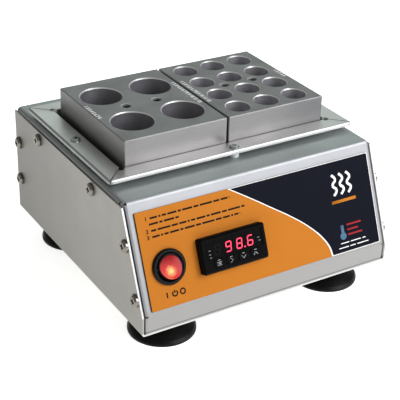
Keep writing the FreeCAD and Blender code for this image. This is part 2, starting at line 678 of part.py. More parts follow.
def make_cover():
    """Deck, sloped front, lip and back in one folded sheet with flanges down both sides."""
    body = new_body("cover")
    profile = [("rear_y", "cover_foot_z"), ("rear_y", "deck_z"), ("deck_front_y", "deck_z"),
               ("front_y", "lip_top_z"), ("front_y", "cover_foot_z")]
    skin = pad(body, draw(body, "side_view", "YZ_Plane", outlines=[profile]), "cover_width", both=True)
    foot = value("cover_foot_z")
    skin = dress(body, "Fillet", skin, lambda b: b.ZMax > foot + 0.01, "bend_radius")
    inside = slope_offset("sheet_thick")
    below = "cover_foot_z - 1"
    hollow = [(inside["rear"], below), (inside["rear"], inside["deck"]),
              (inside["deck_front"], inside["deck"]), (inside["lip"], inside["lip_top"]),
              (inside["lip"], below)]
    hollow = draw(body, "hollow", "YZ_Plane", outlines=[hollow])
    hollow = pocket(body, hollow, "cover_width - 2 * sheet_thick", both=True)
    across = value("cover_width - 2 * sheet_thick")
    dress(body, "Fillet", hollow, lambda b: b.ZMax > foot + 0.01 and near(b.XLength, across),
          "bend_radius - sheet_thick")
    flange = slope_offset("flange_width")
    window = [(flange["rear"], below), (flange["rear"], flange["deck"]),
              (flange["deck_front"], flange["deck"]), (flange["lip"], flange["lip_top"]),
              (flange["lip"], below)]
    pocket(body, draw(body, "side_window", "YZ_Plane", outlines=[window]), "2 * case_width", both=True)
    cut_corner_reliefs(body)
    opening = rect("0", "pan_y", "well_width + 2 * (pan_sheet + deck_clear)",
                   "well_depth + 2 * (pan_sheet + deck_clear)")
    bolts = [(x, y, "small_hole") for x, y in spacer_spots().values()]
    pocket(body, draw(body, "deck_cuts", "XY_Plane", "deck_z", [opening], bolts), "2 * sheet_thick")
    control = rect("control_x", "-control_down", "control_body_width + 2 * control_clear",
                   "control_body_high + 2 * control_clear")
    switch = [("switch_x", "-switch_down", "switch_hole")]
    front = draw(body, "front_cuts", "XY_Plane", outlines=[control], circles=switch, on_slope=True)
    pocket(body, front, "2 * sheet_thick")
    inlet = rect("inlet_x", "inlet_mid_z", "inlet_body_width + 2 * inlet_clear",
                 "inlet_body_high + 2 * inlet_clear")
    bolts = [(x, z, "small_hole") for x, z in inlet_screw_spots()]
    back = draw(body, "back_cuts", "XZ_Plane", "rear_y", [inlet], bolts)
    pocket(body, back, "2 * sheet_thick", flip=True)
    holes = [(y, z, "case_hole") for y, z in side_screw_spots()]
    pocket(body, draw(body, "flange_holes", "YZ_Plane", circles=holes), "2 * case_width", both=True)


def cut_corner_reliefs(body):
    """Notches where three bends meet, and the slits that part neighbouring flanges."""
    half = "cover_width / 2"
    notches = [rect("deck_front_y + 0.2", "deck_z - 0.6", "relief_width", "relief_width"),
               rect("rear_y - 0.6", "deck_z - 0.6", "relief_width", "relief_width")]
    outer = draw(body, "notches", "YZ_Plane", half, notches)
    notch = pocket(body, outer, "relief_width")
    slits = [rect("front_y + flange_width / 2", "lip_top_z - 0.4", "flange_width + 4", "relief_slit"),
             rect("deck_front_y + 4", "deck_z - 2 - flange_width / 2", "relief_slit", "flange_width + 2"),
             rect("rear_y - 3", "deck_z - 2 - flange_width / 2", "relief_slit", "flange_width + 2")]
    slit = pocket(body, draw(body, "slits", "YZ_Plane", half, slits), "bend_radius")
    mirror(body, [notch, slit])


def make_label():
    """Two-tone label plate on the sloped front."""
    body = panel_body("front_label")
    plate = rect("label_shift", "-(label_top + label_bottom) / 2", "label_width", "label_bottom - label_top")
    control = rect("control_x", "-control_down", "control_body_width + 2 * control_clear",
                   "control_body_high + 2 * control_clear")
    sketch = draw(body, "plan", "XY_Plane", outlines=[plate, control],
                  circles=[("switch_x", "-switch_down", "switch_hole")])
    sheet = pad(body, sketch, "label_thick")
    shift, edge = value("label_shift"), value("label_width / 2")
    dress(body, "Fillet", sheet,
          lambda b: near(abs(b.XMin - shift), edge) and near(b.ZLength, b.DiagonalLength), "label_corner")


# Pan and blocks


def spacer_spots():
    """Pan spacers, one at the middle of each flange."""
    return {"front": ("0", "pan_y - end_spacer_y"), "rear": ("0", "pan_y + end_spacer_y"),
            "left": ("-side_spacer_x", "pan_y"), "right": ("side_spacer_x", "pan_y")}


def make_pan():
    """Folded well pan: floor and walls, flanges with turned-down lips, mitred corner seams."""
    body = new_body("well_pan")
    lip_z, top = "pan_top_z - pan_lip", value("pan_top_z")
    brim = pad(body, draw(body, "brim", "XY_Plane", lip_z, [rect("0", "pan_y", "pan_width", "pan_depth")]),
               "pan_lip")
    brim = dress(body, "Fillet", brim, lambda b: near(b.ZLength, b.DiagonalLength), "pan_corner")
    brim = dress(body, "Fillet", brim, lambda b: near(b.ZMin, top), "pan_bend")
    under = rect("0", "pan_y", "pan_width - 2 * pan_sheet", "pan_depth - 2 * pan_sheet")
    pocket(body, draw(body, "under_brim", "XY_Plane", lip_z, [under]), "pan_lip - pan_sheet", flip=True)
    outer = rect("0", "pan_y", "well_width + 2 * pan_sheet", "well_depth + 2 * pan_sheet")
    pad(body, draw(body, "well_outside", "XY_Plane", "floor_z - pan_sheet", [outer]),
        "pan_top_z - floor_z + pan_sheet")
    inner = rect("0", "pan_y", "well_width", "well_depth")
    well = pocket(body, draw(body, "well_inside", "XY_Plane", "pan_top_z", [inner]), "pan_top_z - floor_z")
    half = value("well_width / 2") + 0.01

    def at_mouth(b):
        return near(b.ZMin, top) and b.XMin > -half and b.XMax < half

    dress(body, "Fillet", well, at_mouth, "mouth_bend")
    seams, holes = [], []
    for side in SIDES:
        for end in SIDES:
            near_x, near_y = f"{side} * (well_width / 2 - 1)", f"pan_y + {end} * (well_depth / 2 - 1)"
            far_x, far_y = f"{side} * (pan_width / 2 + 1)", f"pan_y + {end} * (pan_depth / 2 + 1)"
            seams.append([(near_x, f"{near_y} - mitre_gap / 2"), (far_x, f"{far_y} - mitre_gap / 2"),
                          (far_x, f"{far_y} + mitre_gap / 2"), (near_x, f"{near_y} + mitre_gap / 2")])
            holes.append((f"{side} * well_width / 2", f"pan_y + {end} * well_depth / 2", "mitre_hole"))
    pocket(body, draw(body, "seams", "XY_Plane", "pan_top_z + 1", seams), "pan_lip + 2")
    holes += [(x, y, "small_hole") for x, y in spacer_spots().values()]
    pocket(body, draw(body, "brim_holes", "XY_Plane", "pan_top_z", circles=holes), "pan_lip")


def make_block(label, side, radius, pitch_x, pitch_y, count_x, count_y):
    """One drilled aluminium block with tapered well ends and two service holes."""
    body = new_body(label)
    middle = f"{side} * block_x"
    solid = pad(body, draw(body, "plan", "XY_Plane", "floor_z",
                           [rect(middle, "block_y", "block_width", "block_depth")]), "block_height")
    dress(body, "Chamfer", solid, lambda b: True, "block_edge")
    over, tip = "block_top_z + drill_over", "block_top_z - tube_depth"
    profile = [("0", over), (f"{radius} + mouth_chamfer + drill_over", over),
               (radius, "block_top_z - mouth_chamfer"), (radius, f"{tip} + tip_share * {radius}"), ("0", tip)]
    first_x = f"{middle} - {count_x - 1} * {pitch_x} / 2"
    first_y = f"block_y - {count_y - 1} * {pitch_y} / 2"
    well = turn(body, "Groove", draw(body, "well", "XZ_Plane", first_y, [profile], across=first_x))
    grid(body, well, (pitch_x, count_x), (pitch_y, count_y))
    holes = [(f"{middle} + {end} * service_pitch / 2", "block_y", "service_radius") for end in SIDES]
    pocket(body, draw(body, "service_holes", "XY_Plane", "block_top_z", circles=holes), "service_depth")


def make_spacers():
    """Plain spacers that hold the pan off the deck."""
    for name, (x, y) in spacer_spots().items():
        body = new_body(f"pan_spacer_{name}")
        rings = [(x, y, "spacer_radius"), (x, y, "small_hole")]
        pad(body, draw(body, "plan", "XY_Plane", "deck_z", circles=rings), "pan_rise - pan_sheet")


# Heating parts under the pan


def make_heater():
    """Heater mat and insulation, held up by a clamp plate on four welded studs."""
    box("heater_mat", "heater_width", "heater_depth", "mat_thick", "0", "pan_y", "heater_top_z - mat_thick")
    box("heater_insulation", "heater_width", "heater_depth", "wool_thick", "0", "pan_y", "clamp_top_z")
    body = new_body("heater_clamp_plate")
    half, low = "(heater_depth / 2 + clamp_over)", "clamp_under_z - clamp_lip"
    inner = f"({half} - sheet_thick)"
    channel = [(f"pan_y - {half}", "clamp_top_z"), (f"pan_y + {half}", "clamp_top_z"),
               (f"pan_y + {half}", low), (f"pan_y + {inner}", low), (f"pan_y + {inner}", "clamp_under_z"),
               (f"pan_y - {inner}", "clamp_under_z"), (f"pan_y - {inner}", low), (f"pan_y - {half}", low)]
    pad(body, draw(body, "channel", "YZ_Plane", outlines=[channel]), "clamp_width", both=True)
    spots = [(f"{side} * stud_x", f"pan_y + {end} * stud_y") for side in SIDES for end in SIDES]
    holes = [(x, y, "case_hole") for x, y in spots]
    pocket(body, draw(body, "stud_holes", "XY_Plane", "clamp_top_z", circles=holes), "sheet_thick")
    stud = new_body("weld_stud", node=False)
    profile = [("0", "0"), ("stud_head", "0"), ("stud_head", "-stud_head_thick"),
               ("case_screw", "-stud_head_thick"), ("case_screw", "-stud_length"), ("0", "-stud_length")]
    turn(stud, "Revolution", draw(stud, "profile", "XZ_Plane", outlines=[profile]))
    group("clamp_studs", stud, [(x, y, "heater_top_z") for x, y in spots])
    nut = hex_nut("stud_nut", "nut_flats", "nut_high", "case_screw + thread_clear")
    group("clamp_nuts", nut, [(x, y, "clamp_under_z - nut_high") for x, y in spots])


def make_sensors():
    """Temperature probe clipped to the well's back wall, and the cut-out under the clamp plate."""
    rod("sensor_probe", "probe_radius", "probe_length", "probe_x", "probe_y", "floor_z + probe_lift")
    clip = new_body("sensor_clip")
    back, hump = "well_back_y", "probe_y + probe_radius + probe_clear"
    inner, outer = "(probe_radius + probe_clear)", "(probe_radius + probe_clear + saddle_sheet)"
    saddle = [(f"-{inner}", back), (f"-{inner}", hump), (inner, hump), (inner, back), ("saddle_reach", back),
              ("saddle_reach", f"{back} + saddle_sheet"), (outer, f"{back} + saddle_sheet"),
              (outer, f"{hump} + saddle_sheet"), (f"-{outer}", f"{hump} + saddle_sheet"),
              (f"-{outer}", f"{back} + saddle_sheet"), ("-saddle_reach", f"{back} + saddle_sheet"),
              ("-saddle_reach", back)]
    saddle = [(f"probe_x + {x}", y) for x, y in saddle]
    pad(clip, draw(clip, "saddle", "XY_Plane", "floor_z + saddle_lift", [saddle]), "saddle_high")
    can = rod("cutout_can", "cutout_radius", "cutout_high", "cutout_x", "pan_y",
              "clamp_under_z - cutout_high", node=False)
    ears = box("cutout_ears", "ear_length", "ear_width", "ear_thick", "cutout_x", "pan_y",
               "clamp_under_z - ear_thick", node=False)
    blades = [box(f"cutout_blade_{i}", "lug_thick", "lug_width", "cutout_lug + lug_thick",
                  f"cutout_x + {side} * cutout_lug_x", "pan_y", "clamp_under_z - cutout_high - cutout_lug",
                  node=False) for i, side in enumerate(SIDES)]
    joined("thermal_cutout", [can, ears] + blades)


# Switch and controller on the sloped front


def make_switch():
    """Round rocker switch: bezel and barrel, rocker on its own pins, blades behind."""
    body = panel_body("switch_housing")
    top = "label_thick + switch_proud"
    profile = [("0", "-switch_deep"), ("switch_barrel", "-switch_deep"), ("switch_barrel", "label_thick"),
               ("switch_bezel", "label_thick"), ("switch_bezel", f"{top} - switch_chamfer"),
               ("switch_bezel - switch_chamfer", top), ("socket_radius + socket_chamfer", top),
               ("socket_radius", f"{top} - socket_chamfer"), ("socket_radius", "-socket_floor"),
               ("0", "-socket_floor")]
    turn(body, "Revolution",
         draw(body, "profile", "XZ_Plane", "-switch_down", [profile], across="switch_x"))
    bearing = draw(body, "bearing", "YZ_Plane", "switch_x",
                   circles=[("-switch_down", "rocker_pivot", "trunnion_radius + bearing_clear")])
    pocket(body, bearing, "2 * (trunnion_reach + bearing_clear)", both=True)

    rocker = new_body("rocker")
    place(rocker, "switch_x", "deck_front_y - switch_down * slope_sin - rocker_pivot * slope_cos",
          "deck_z - switch_down * slope_cos + rocker_pivot * slope_sin", (1, 0, 0),
          "90 - slope_angle - rocker_tilt")
    disc = draw(rocker, "disc", "XY_Plane", "-rocker_root", circles=[("0", "0", "rocker_radius")])
    pad(rocker, disc, "rocker_root + rocker_crest + rocker_rise")
    scoop = "(rocker_radius * rocker_radius + rocker_rise * rocker_rise) / (2 * rocker_rise)"
    hollow = draw(rocker, "hollow", "YZ_Plane", circles=[("0", f"rocker_crest + {scoop}", scoop)])
    cut = pocket(rocker, hollow, "4 * rocker_radius", both=True)
    crest = value("rocker_crest")
    dress(rocker, "Fillet", cut, lambda b: b.ZMin > crest - 0.01, "rocker_edge")
    pin = draw(rocker, "pins", "YZ_Plane", circles=[("0", "0", "trunnion_radius")])
    pad(rocker, pin, "2 * trunnion_reach", both=True)

    blades = panel_body("switch_blades")
    spots = [(f"switch_x + {i} * lug_pitch", f"-switch_down + {abs(i)} * lug_step") for i in (-1, 0, 1)]
    lugs = [rect(x, y, "lug_thick", "lug_width") for x, y in spots]
    pad(blades, draw(blades, "plan", "XY_Plane", "-switch_deep", lugs), "lug_length", flip=True)


def key_centres():
    """Key names and places on the controller's face."""
    names = ("key_set", "key_shift", "key_lower", "key_raise")
    return {name: (f"control_x + key_shift_x + {i - 1.5} * key_pitch", "-control_down - key_down")
            for i, name in enumerate(names)}


def make_controller():
    """Panel controller: housing through the panel, bezel, window, keys and the clip behind."""
    body = panel_body("controller_housing")
    middle = ("control_x", "-control_down")
    hull = rect(*middle, "control_body_width", "control_body_high")
    pad(body, draw(body, "plan", "XY_Plane", "label_thick", [hull]), "control_deep + label_thick", flip=True)

    bezel = panel_body("controller_bezel")
    frame = draw(bezel, "plan", "XY_Plane", "label_thick", [rect(*middle, "control_width", "control_high")])
    block = pad(bezel, frame, "control_proud")
    block = dress(bezel, "Fillet", block, lambda b: b.ZLength > 1, "control_corner")
    face = value("face_z")
    dress(bezel, "Chamfer", block, lambda b: near(b.ZMin, face), "control_chamfer")
    glass = rect("control_x", "-control_down + window_up", "window_width", "window_high")
    pocket(bezel, draw(bezel, "window_seat", "XY_Plane", "face_z", [glass]), "window_thick + window_sink")
    pits = [rect(x, y, "key_width + 2 * key_gap", "key_high + 2 * key_gap")
            for x, y in key_centres().values()]
    pocket(bezel, draw(bezel, "key_pits", "XY_Plane", "face_z", pits), "key_pit")

    window = panel_body("display_window")
    lens = rect("control_x", "-control_down + window_up", "window_width - 2 * window_gap",
                "window_high - 2 * window_gap")
    pad(window, draw(window, "plan", "XY_Plane", "face_z - window_sink", [lens]), "window_thick", flip=True)

    for name, (x, y) in key_centres().items():
        key = panel_body(name)
        cap = draw(key, "plan", "XY_Plane", "face_z + key_proud", [rect(x, y, "key_width", "key_high")])
        cap = pad(key, cap, "key_proud + key_root", flip=True)
        top = value("face_z + key_proud")
        dress(key, "Chamfer", cap, lambda b: near(b.ZMin, top), "key_chamfer")

    clip = panel_body("controller_clip")
    outer = rect(*middle, "control_body_width + 2 * clip_wall", "control_body_high + 2 * clip_wall")
    inner = rect(*middle, "control_body_width + 2 * clip_gap", "control_body_high + 2 * clip_gap")
    pad(clip, draw(clip, "plan", "XY_Plane", "-sheet_thick", [outer, inner]), "clip_length", flip=True)


# Mains side at the back


def inlet_screw_spots():
    return [(f"inlet_x + {side} * inlet_screw_pitch / 2", "inlet_mid_z") for side in SIDES]


def blade_spots():
    """Inlet blades as X and Z: earth in the middle and above, the other two below it."""
    low, high = "inlet_z + plug_up - blade_lift", "inlet_z + plug_up + blade_lift"
    return [("inlet_x", high), ("inlet_x - blade_pitch", low), ("inlet_x + blade_pitch", low)]


def make_inlet():
    """Mains inlet with its socket and the slot of the fuse drawer."""
    body = new_body("power_inlet")
    plate = draw(body, "flange", "XZ_Plane", "inlet_back_y",
                 [rect("inlet_x", "inlet_mid_z", "inlet_width", "inlet_high")])
    flange = pad(body, plate, "inlet_proud")
    flange = dress(body, "Fillet", flange, lambda b: b.YLength > 1, "inlet_corner")
    back = value("inlet_back_y")
    dress(body, "Fillet", flange, lambda b: near(b.YMin, back), "inlet_round")
    shell = rect("inlet_x", "inlet_mid_z", "inlet_body_width", "inlet_body_high")
    pad(body, draw(body, "body", "XZ_Plane", "rear_y", [shell]), "inlet_deep")
    left, right = "inlet_x - plug_width / 2", "inlet_x + plug_width / 2"
    low, high = "inlet_z + plug_up - plug_high / 2", "inlet_z + plug_up + plug_high / 2"
    socket = [(left, low), (right, low), (right, f"{high} - plug_cant"), (f"{right} - plug_cant", high),
              (f"{left} + plug_cant", high), (left, f"{high} - plug_cant")]
    slot = rect("inlet_x", "drawer_z", "drawer_width + 2 * drawer_gap", "drawer_high + 2 * drawer_gap")
    slots = [rect(x, z, "blade_thick + 2 * blade_gap", "blade_high + 2 * blade_gap")
             for x, z in blade_spots()]
    seats = [(x, z, "seat_radius") for x, z in inlet_screw_spots()]
    holes = [(x, z, "small_hole") for x, z in inlet_screw_spots()]
    cuts = (("socket", [socket], (), "plug_deep"),
            ("drawer_slot", [slot], (), "inlet_proud + drawer_deep + drawer_floor"),
            ("blade_slots", slots, (), "2 * inlet_deep"),
            ("screw_seats", (), seats, "seat_deep"),
            ("screw_holes", (), holes, "2 * inlet_proud"))
    for name, outlines, circles, deep in cuts:
        pocket(body, draw(body, name, "XZ_Plane", "inlet_back_y", outlines, circles), deep, flip=True)

    blades = new_body("inlet_blades")
    flats = [rect(x, z, "blade_thick", "blade_high") for x, z in blade_spots()]
    pad(blades, draw(blades, "plan", "XZ_Plane", "inlet_back_y - blade_sink", flats),
        "inlet_deep + inlet_proud - blade_sink + spade_length")

    drawer = new_body("fuse_drawer")
    tray = rect("inlet_x", "drawer_z", "drawer_width", "drawer_high")
    pad(drawer, draw(drawer, "plan", "XZ_Plane", "inlet_back_y", [tray]), "inlet_proud + drawer_deep")
    trough = rect("inlet_x", "rear_y - fuse_in", "fuse_length + 2 * fuse_clear",
                  "2 * (fuse_radius + fuse_clear)")
    top = "drawer_z + drawer_high / 2"
    pocket(drawer, draw(drawer, "trough", "XY_Plane", top, [trough]), "drawer_high - drawer_floor")
    grip = rect("inlet_x", "inlet_back_y", "grip_width", "2 * grip_deep")
    pocket(drawer, draw(drawer, "grip", "XY_Plane", top, [grip]), "grip_high")
    rod("fuse", "fuse_radius", "fuse_length", "inlet_x - fuse_length / 2", "rear_y - fuse_in",
        "drawer_z - drawer_high / 2 + drawer_floor + fuse_lift + fuse_radius", (0, 1, 0), 90)


def make_relay():
    """Solid-state relay: base, moulded body and its four screw terminals."""
    middle = ("relay_x", "relay_mid_y")
    base = box("relay_base", "relay_width", "relay_depth", "relay_plate", *middle, "inner_floor_z",
               node=False)
    body = box("relay_body", "relay_width - 2 * relay_inset_x", "relay_depth - 2 * relay_inset_y",
               "relay_high - relay_plate", *middle, "inner_floor_z + relay_plate", node=False)
    lugs = [rod(f"relay_lug_{i}{j}", "relay_lug", "relay_lug_high", f"relay_x + {side} * relay_lug_x",
                f"relay_mid_y + {end} * relay_lug_x", "inner_floor_z + relay_high", node=False)
            for i, side in enumerate(SIDES) for j, end in enumerate(SIDES)]
    whole = doc.addObject("Part::MultiFuse", "relay_whole")
    whole.Shapes = [base, body] + lugs
    drills = [rod(f"relay_drill_{i}", "small_hole", "relay_plate", x, y, "inner_floor_z", node=False)
              for i, (x, y) in enumerate(relay_screw_spots())]
    both = doc.addObject("Part::MultiFuse", "relay_drills")
    both.Shapes = drills
    relay = doc.addObject("Part::Cut", "solid_state_relay")
    relay.Label = "solid_state_relay"
    relay.Base, relay.Tool = whole, both
    nodes.append(settled(relay))


def make_terminals():
    """Barrier terminal strip: a floor, ribs between the poles and an ear at each end."""
    body = new_body("terminal_strip")
    middle = ("strip_x", "strip_mid_y")
    floor = rect(*middle, "strip_length", "strip_depth")
    pad(body, draw(body, "floor", "XY_Plane", "inner_floor_z", [floor]), "strip_high")
    ears = rect(*middle, "strip_span", "strip_ear_width")
    pad(body, draw(body, "ears", "XY_Plane", "inner_floor_z", [ears]), "strip_ear_thick")
    rib = rect(f"strip_x - {POLES} * strip_pitch / 2", "strip_mid_y", "strip_rib_thick", "strip_depth")
    rib = draw(body, "rib", "XY_Plane", "inner_floor_z + strip_high", [rib])
    rib = pad(body, rib, "strip_rib - strip_high")
    ribs = row_of(body, "terminal_ribs", "X_Axis", "strip_pitch", POLES + 1)
    ribs.Originals = [rib]
    body.Tip = ribs
    settled(ribs)
    holes = [(x, y, "small_hole") for x, y in strip_screw_spots()]
    ear_top = "inner_floor_z + strip_ear_thick"
    pocket(body, draw(body, "ear_holes", "XY_Plane", ear_top, circles=holes), "strip_ear_thick")
    poles = new_body("terminal_clamps")
    spots = [f"strip_x + {i - (POLES - 1) / 2} * strip_pitch" for i in range(POLES)]
    plates = [rect(x, "strip_mid_y", "pole_width", "pole_depth") for x in spots]
    pad(poles, draw(poles, "plan", "XY_Plane", "inner_floor_z + strip_high", plates), "sheet_thick")


def make_feet():
    """Rubber suction feet, each turned in one piece with a concave underside."""
    for name, (x, y) in zip(("front_left", "front_right", "rear_left", "rear_right"), foot_spots()):
        body = new_body(f"foot_{name}")
        hole = "foot_stud + stud_grip"
        profile = [(hole, "foot_height"), ("foot_neck", "foot_height"), ("foot_neck", "foot_neck_low"),
                   ("foot_shoulder", "foot_shoulder_low"), ("foot_radius - foot_edge_in", "foot_edge_high"),
                   ("foot_radius", "foot_rim_high"), ("foot_radius", "0"), ("foot_radius - foot_rim", "0"),
                   ("cup_radius", "cup_high"), ("0", "cup_crown"), ("0", "stud_pit"), (hole, "stud_pit")]
        bell = turn(body, "Revolution", draw(body, "profile", "XZ_Plane", y, [profile], across=x))
        bends = ((value("foot_neck"), value("foot_neck_low")),
                 (value("foot_shoulder"), value("foot_shoulder_low")))
        dress(body, "Fillet", bell,
              lambda b: any(near(b.XLength, 2 * r) and near(b.ZMin, z) and near(b.ZMax, z) for r, z in bends),
              "foot_round")
    stud = new_body("foot_stud_pattern", node=False)
    rod_plan = draw(stud, "plan", "XY_Plane", circles=[("0", "0", "foot_stud")])
    pad(stud, rod_plan, "inner_floor_z + stud_end - stud_start")
    group("foot_studs", stud, [(x, y, "stud_start") for x, y in foot_spots()])
    nut = hex_nut("foot_nut_pattern", "foot_nut_flats", "foot_nut_high", "foot_stud + thread_clear")
    group("foot_nuts", nut, [(x, y, "inner_floor_z") for x, y in foot_spots()])


# Fastener groups


def make_fasteners():
    """Screws and nuts of the case, pan, inlet, relay, terminal strip and earth."""
    case = pan_screw("case_screw_pattern", "case_head", "case_head_high", "case_screw",
                     "case_screw_length", "case_recess")
    small = pan_screw("small_screw_pattern", "small_head", "small_head_high", "small_screw",
                      "small_length", "small_recess")
    stub = pan_screw("stub_screw_pattern", "stub_head", "stub_head_high", "small_screw",
                     "stub_length", "stub_recess")
    nut = hex_nut("small_nut_pattern", "small_nut_flats", "small_nut_high", "small_screw + thread_clear")
    clinch = collar("clinch_nut_pattern", "clinch_radius", "case_screw + thread_clear", "clinch_high")
    across = (0, 1, 0)
    inner = "cover_width / 2 - sheet_thick"
    spots = side_screw_spots()
    group("case_screws", case,
          [(f"{side} * half_width", y, z, across, 90 * side) for side in SIDES for y, z in spots])
    group("clinch_nuts", clinch,
          [(f"{side} * ({inner})", y, z, across, -90 * side) for side in SIDES for y, z in spots])
    pan = spacer_spots().values()
    group("pan_screws", small, [(x, y, "pan_top_z") for x, y in pan])
    group("pan_nuts", nut, [(x, y, "deck_z - sheet_thick - small_nut_high") for x, y in pan])
    back = (1, 0, 0)
    inlet = inlet_screw_spots()
    group("inlet_screws", stub, [(x, "inlet_back_y - seat_deep", z, back, -90) for x, z in inlet])
    group("inlet_nuts", nut, [(x, "rear_y - sheet_thick", z, back, 90) for x, z in inlet])
    board = relay_screw_spots() + strip_screw_spots()
    group("floor_screws", stub, [(x, y, "inner_floor_z + relay_plate") for x, y in board])
    group("floor_nuts", nut, [(x, y, "bottom_z - small_nut_high") for x, y in board])
    earth = ("earth_x", "rear_y + earth_y")
    rod("earth_stud", "case_screw", "sheet_thick + earth_high", *earth, "bottom_z")
    nut = hex_nut("earth_nut_pattern", "nut_flats", "nut_high", "case_screw + thread_clear")
    group("earth_nut", nut, [(*earth, "inner_floor_z")])


def check_all():
    """Stop if any object failed or any node has no sound solid."""
    doc.recompute()
    for obj in doc.Objects:
        if {"Invalid", "Error"} & set(obj.State):
            raise RuntimeError(f"{obj.Name} failed")
    for node in nodes:
        if node.Shape.isNull() or not node.Shape.isValid() or not node.Shape.Solids:
            raise RuntimeError(f"{node.Label} has no sound solid")


def main():
    fill_sheet()
    make_chassis()
    make_cover()
    make_label()
    make_pan()
    make_block("block_large_wells", -1, "large_radius", "large_pitch_x", "large_pitch_y", 2, 2)
    make_block("block_small_wells", 1, "small_radius", "small_pitch_x", "small_pitch_y", 3, 4)
    make_spacers()
    make_heater()
    make_sensors()
    make_switch()
    make_controller()
    make_inlet()
    make_relay()
    make_terminals()
    make_feet()
    make_fasteners()
    check_all()
    os.makedirs("parts", exist_ok=True)
    for node in nodes:
        node.Shape.exportStep(f"parts/{node.Label}.step")
    print(len(nodes), "nodes")


main()
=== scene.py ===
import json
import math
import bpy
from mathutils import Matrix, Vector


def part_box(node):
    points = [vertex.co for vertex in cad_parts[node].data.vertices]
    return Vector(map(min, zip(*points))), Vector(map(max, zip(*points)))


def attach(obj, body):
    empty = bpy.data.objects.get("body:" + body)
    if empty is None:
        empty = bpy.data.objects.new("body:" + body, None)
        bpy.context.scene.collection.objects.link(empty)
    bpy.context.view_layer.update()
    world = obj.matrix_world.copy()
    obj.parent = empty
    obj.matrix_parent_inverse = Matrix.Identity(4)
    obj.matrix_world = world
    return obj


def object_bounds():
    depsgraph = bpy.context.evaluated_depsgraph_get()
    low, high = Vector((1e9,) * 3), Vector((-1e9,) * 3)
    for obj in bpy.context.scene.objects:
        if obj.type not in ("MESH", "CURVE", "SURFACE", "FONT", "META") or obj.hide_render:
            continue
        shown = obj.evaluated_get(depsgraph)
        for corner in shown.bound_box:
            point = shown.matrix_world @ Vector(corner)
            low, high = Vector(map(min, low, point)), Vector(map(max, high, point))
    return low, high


bl_info = {
    "name": "Dry block heater",
    "version": (1, 0, 0),
    "blender": (4, 5, 0),
    "location": "View3D > Sidebar > Heater",
    "description": "Finishes, printed marks and stage for a bench dry block heater",
    "category": "Object",
}

import bmesh
import bpy
from bpy.props import FloatProperty, FloatVectorProperty, PointerProperty, StringProperty
from mathutils import Matrix, Vector

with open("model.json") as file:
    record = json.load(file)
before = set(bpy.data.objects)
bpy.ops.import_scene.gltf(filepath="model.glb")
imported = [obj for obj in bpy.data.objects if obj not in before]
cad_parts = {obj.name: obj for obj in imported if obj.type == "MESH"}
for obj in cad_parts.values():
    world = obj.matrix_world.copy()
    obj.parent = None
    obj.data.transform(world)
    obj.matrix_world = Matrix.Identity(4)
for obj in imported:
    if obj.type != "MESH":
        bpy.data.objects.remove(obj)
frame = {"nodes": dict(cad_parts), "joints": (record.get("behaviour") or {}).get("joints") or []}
CAD_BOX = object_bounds()

MM = 0.001
NODES = frame["nodes"]
JOINTS = {joint["name"]: joint for joint in frame["joints"]}
KEYS = ("key_set", "key_shift", "key_lower", "key_raise")
FEET = ("foot_front_left", "foot_front_right", "foot_rear_left", "foot_rear_right")
SPACERS = ("pan_spacer_front", "pan_spacer_rear", "pan_spacer_left", "pan_spacer_right")
FASTENERS = ("case_screws", "clinch_nuts", "pan_nuts", "clamp_studs", "clamp_nuts", "inlet_screws",
             "inlet_nuts", "floor_screws", "floor_nuts", "earth_stud", "earth_nut", "foot_studs",
             "foot_nuts", "sensor_probe")
# points round a circle, in degrees
TURNS = range(0, 360, 30)


def screen(red, green, blue):
    """A colour as a screen shows it, 0 to 255, in the linear values that shaders take."""
    parts = (part / 255 for part in (red, green, blue))
    return tuple(part / 12.92 if part < 0.0405 else ((part + 0.055) / 1.055) ** 2.4 for part in parts)


def colour(name, description, *shade):
    return FloatVectorProperty(name=name, description=description, default=screen(*shade),
                               subtype="COLOR", size=3, min=0, max=1)


def length(name, description, size):
    return FloatProperty(name=name, description=description, default=size * MM, min=0, unit="LENGTH")


def angle(name, description, degrees):
    return FloatProperty(name=name, description=description, default=math.radians(degrees), subtype="ANGLE")


def amount(name, description, default):
    return FloatProperty(name=name, description=description, default=default, min=0)


class StageSettings(bpy.types.PropertyGroup):
    floor_colour: colour("Floor", "Plain floor under the heater", 253, 253, 252)
    floor_size: length("Floor size", "Side of the square floor", 9000)
    floor_glow: amount("Floor glow", "Light given off by the floor, as a light table", 0.76)
    room_colour: colour("Room", "Soft light all round", 243, 244, 243)
    room_strength: amount("Room strength", "Strength of the soft light all round", 0.38)
    softbox_colour: colour("Softboxes", "Light of the two softboxes in front", 247, 248, 255)
    back_colour: colour("Back softbox colour", "Light of the softbox behind", 226, 248, 243)
    front_strength: amount("Front softbox", "Power of the one in front, on the right", 15.0)
    high_strength: amount("High softbox", "Power of the small one above it", 3.0)
    back_strength: amount("Back softbox", "Power of the one behind, on the right", 1.8)
    swing: angle("Camera swing", "Camera round the heater from straight in front", -31.993)
    climb: angle("Camera climb", "Camera above the bench", 28.776)
    roll: angle("Camera roll", "Camera turned about its own line of sight", 1.791)
    distance: length("Camera distance", "Camera to the point it looks at", 780)
    lens: amount("Lens", "Focal length in millimetres on a 36 mm frame", 100.98)


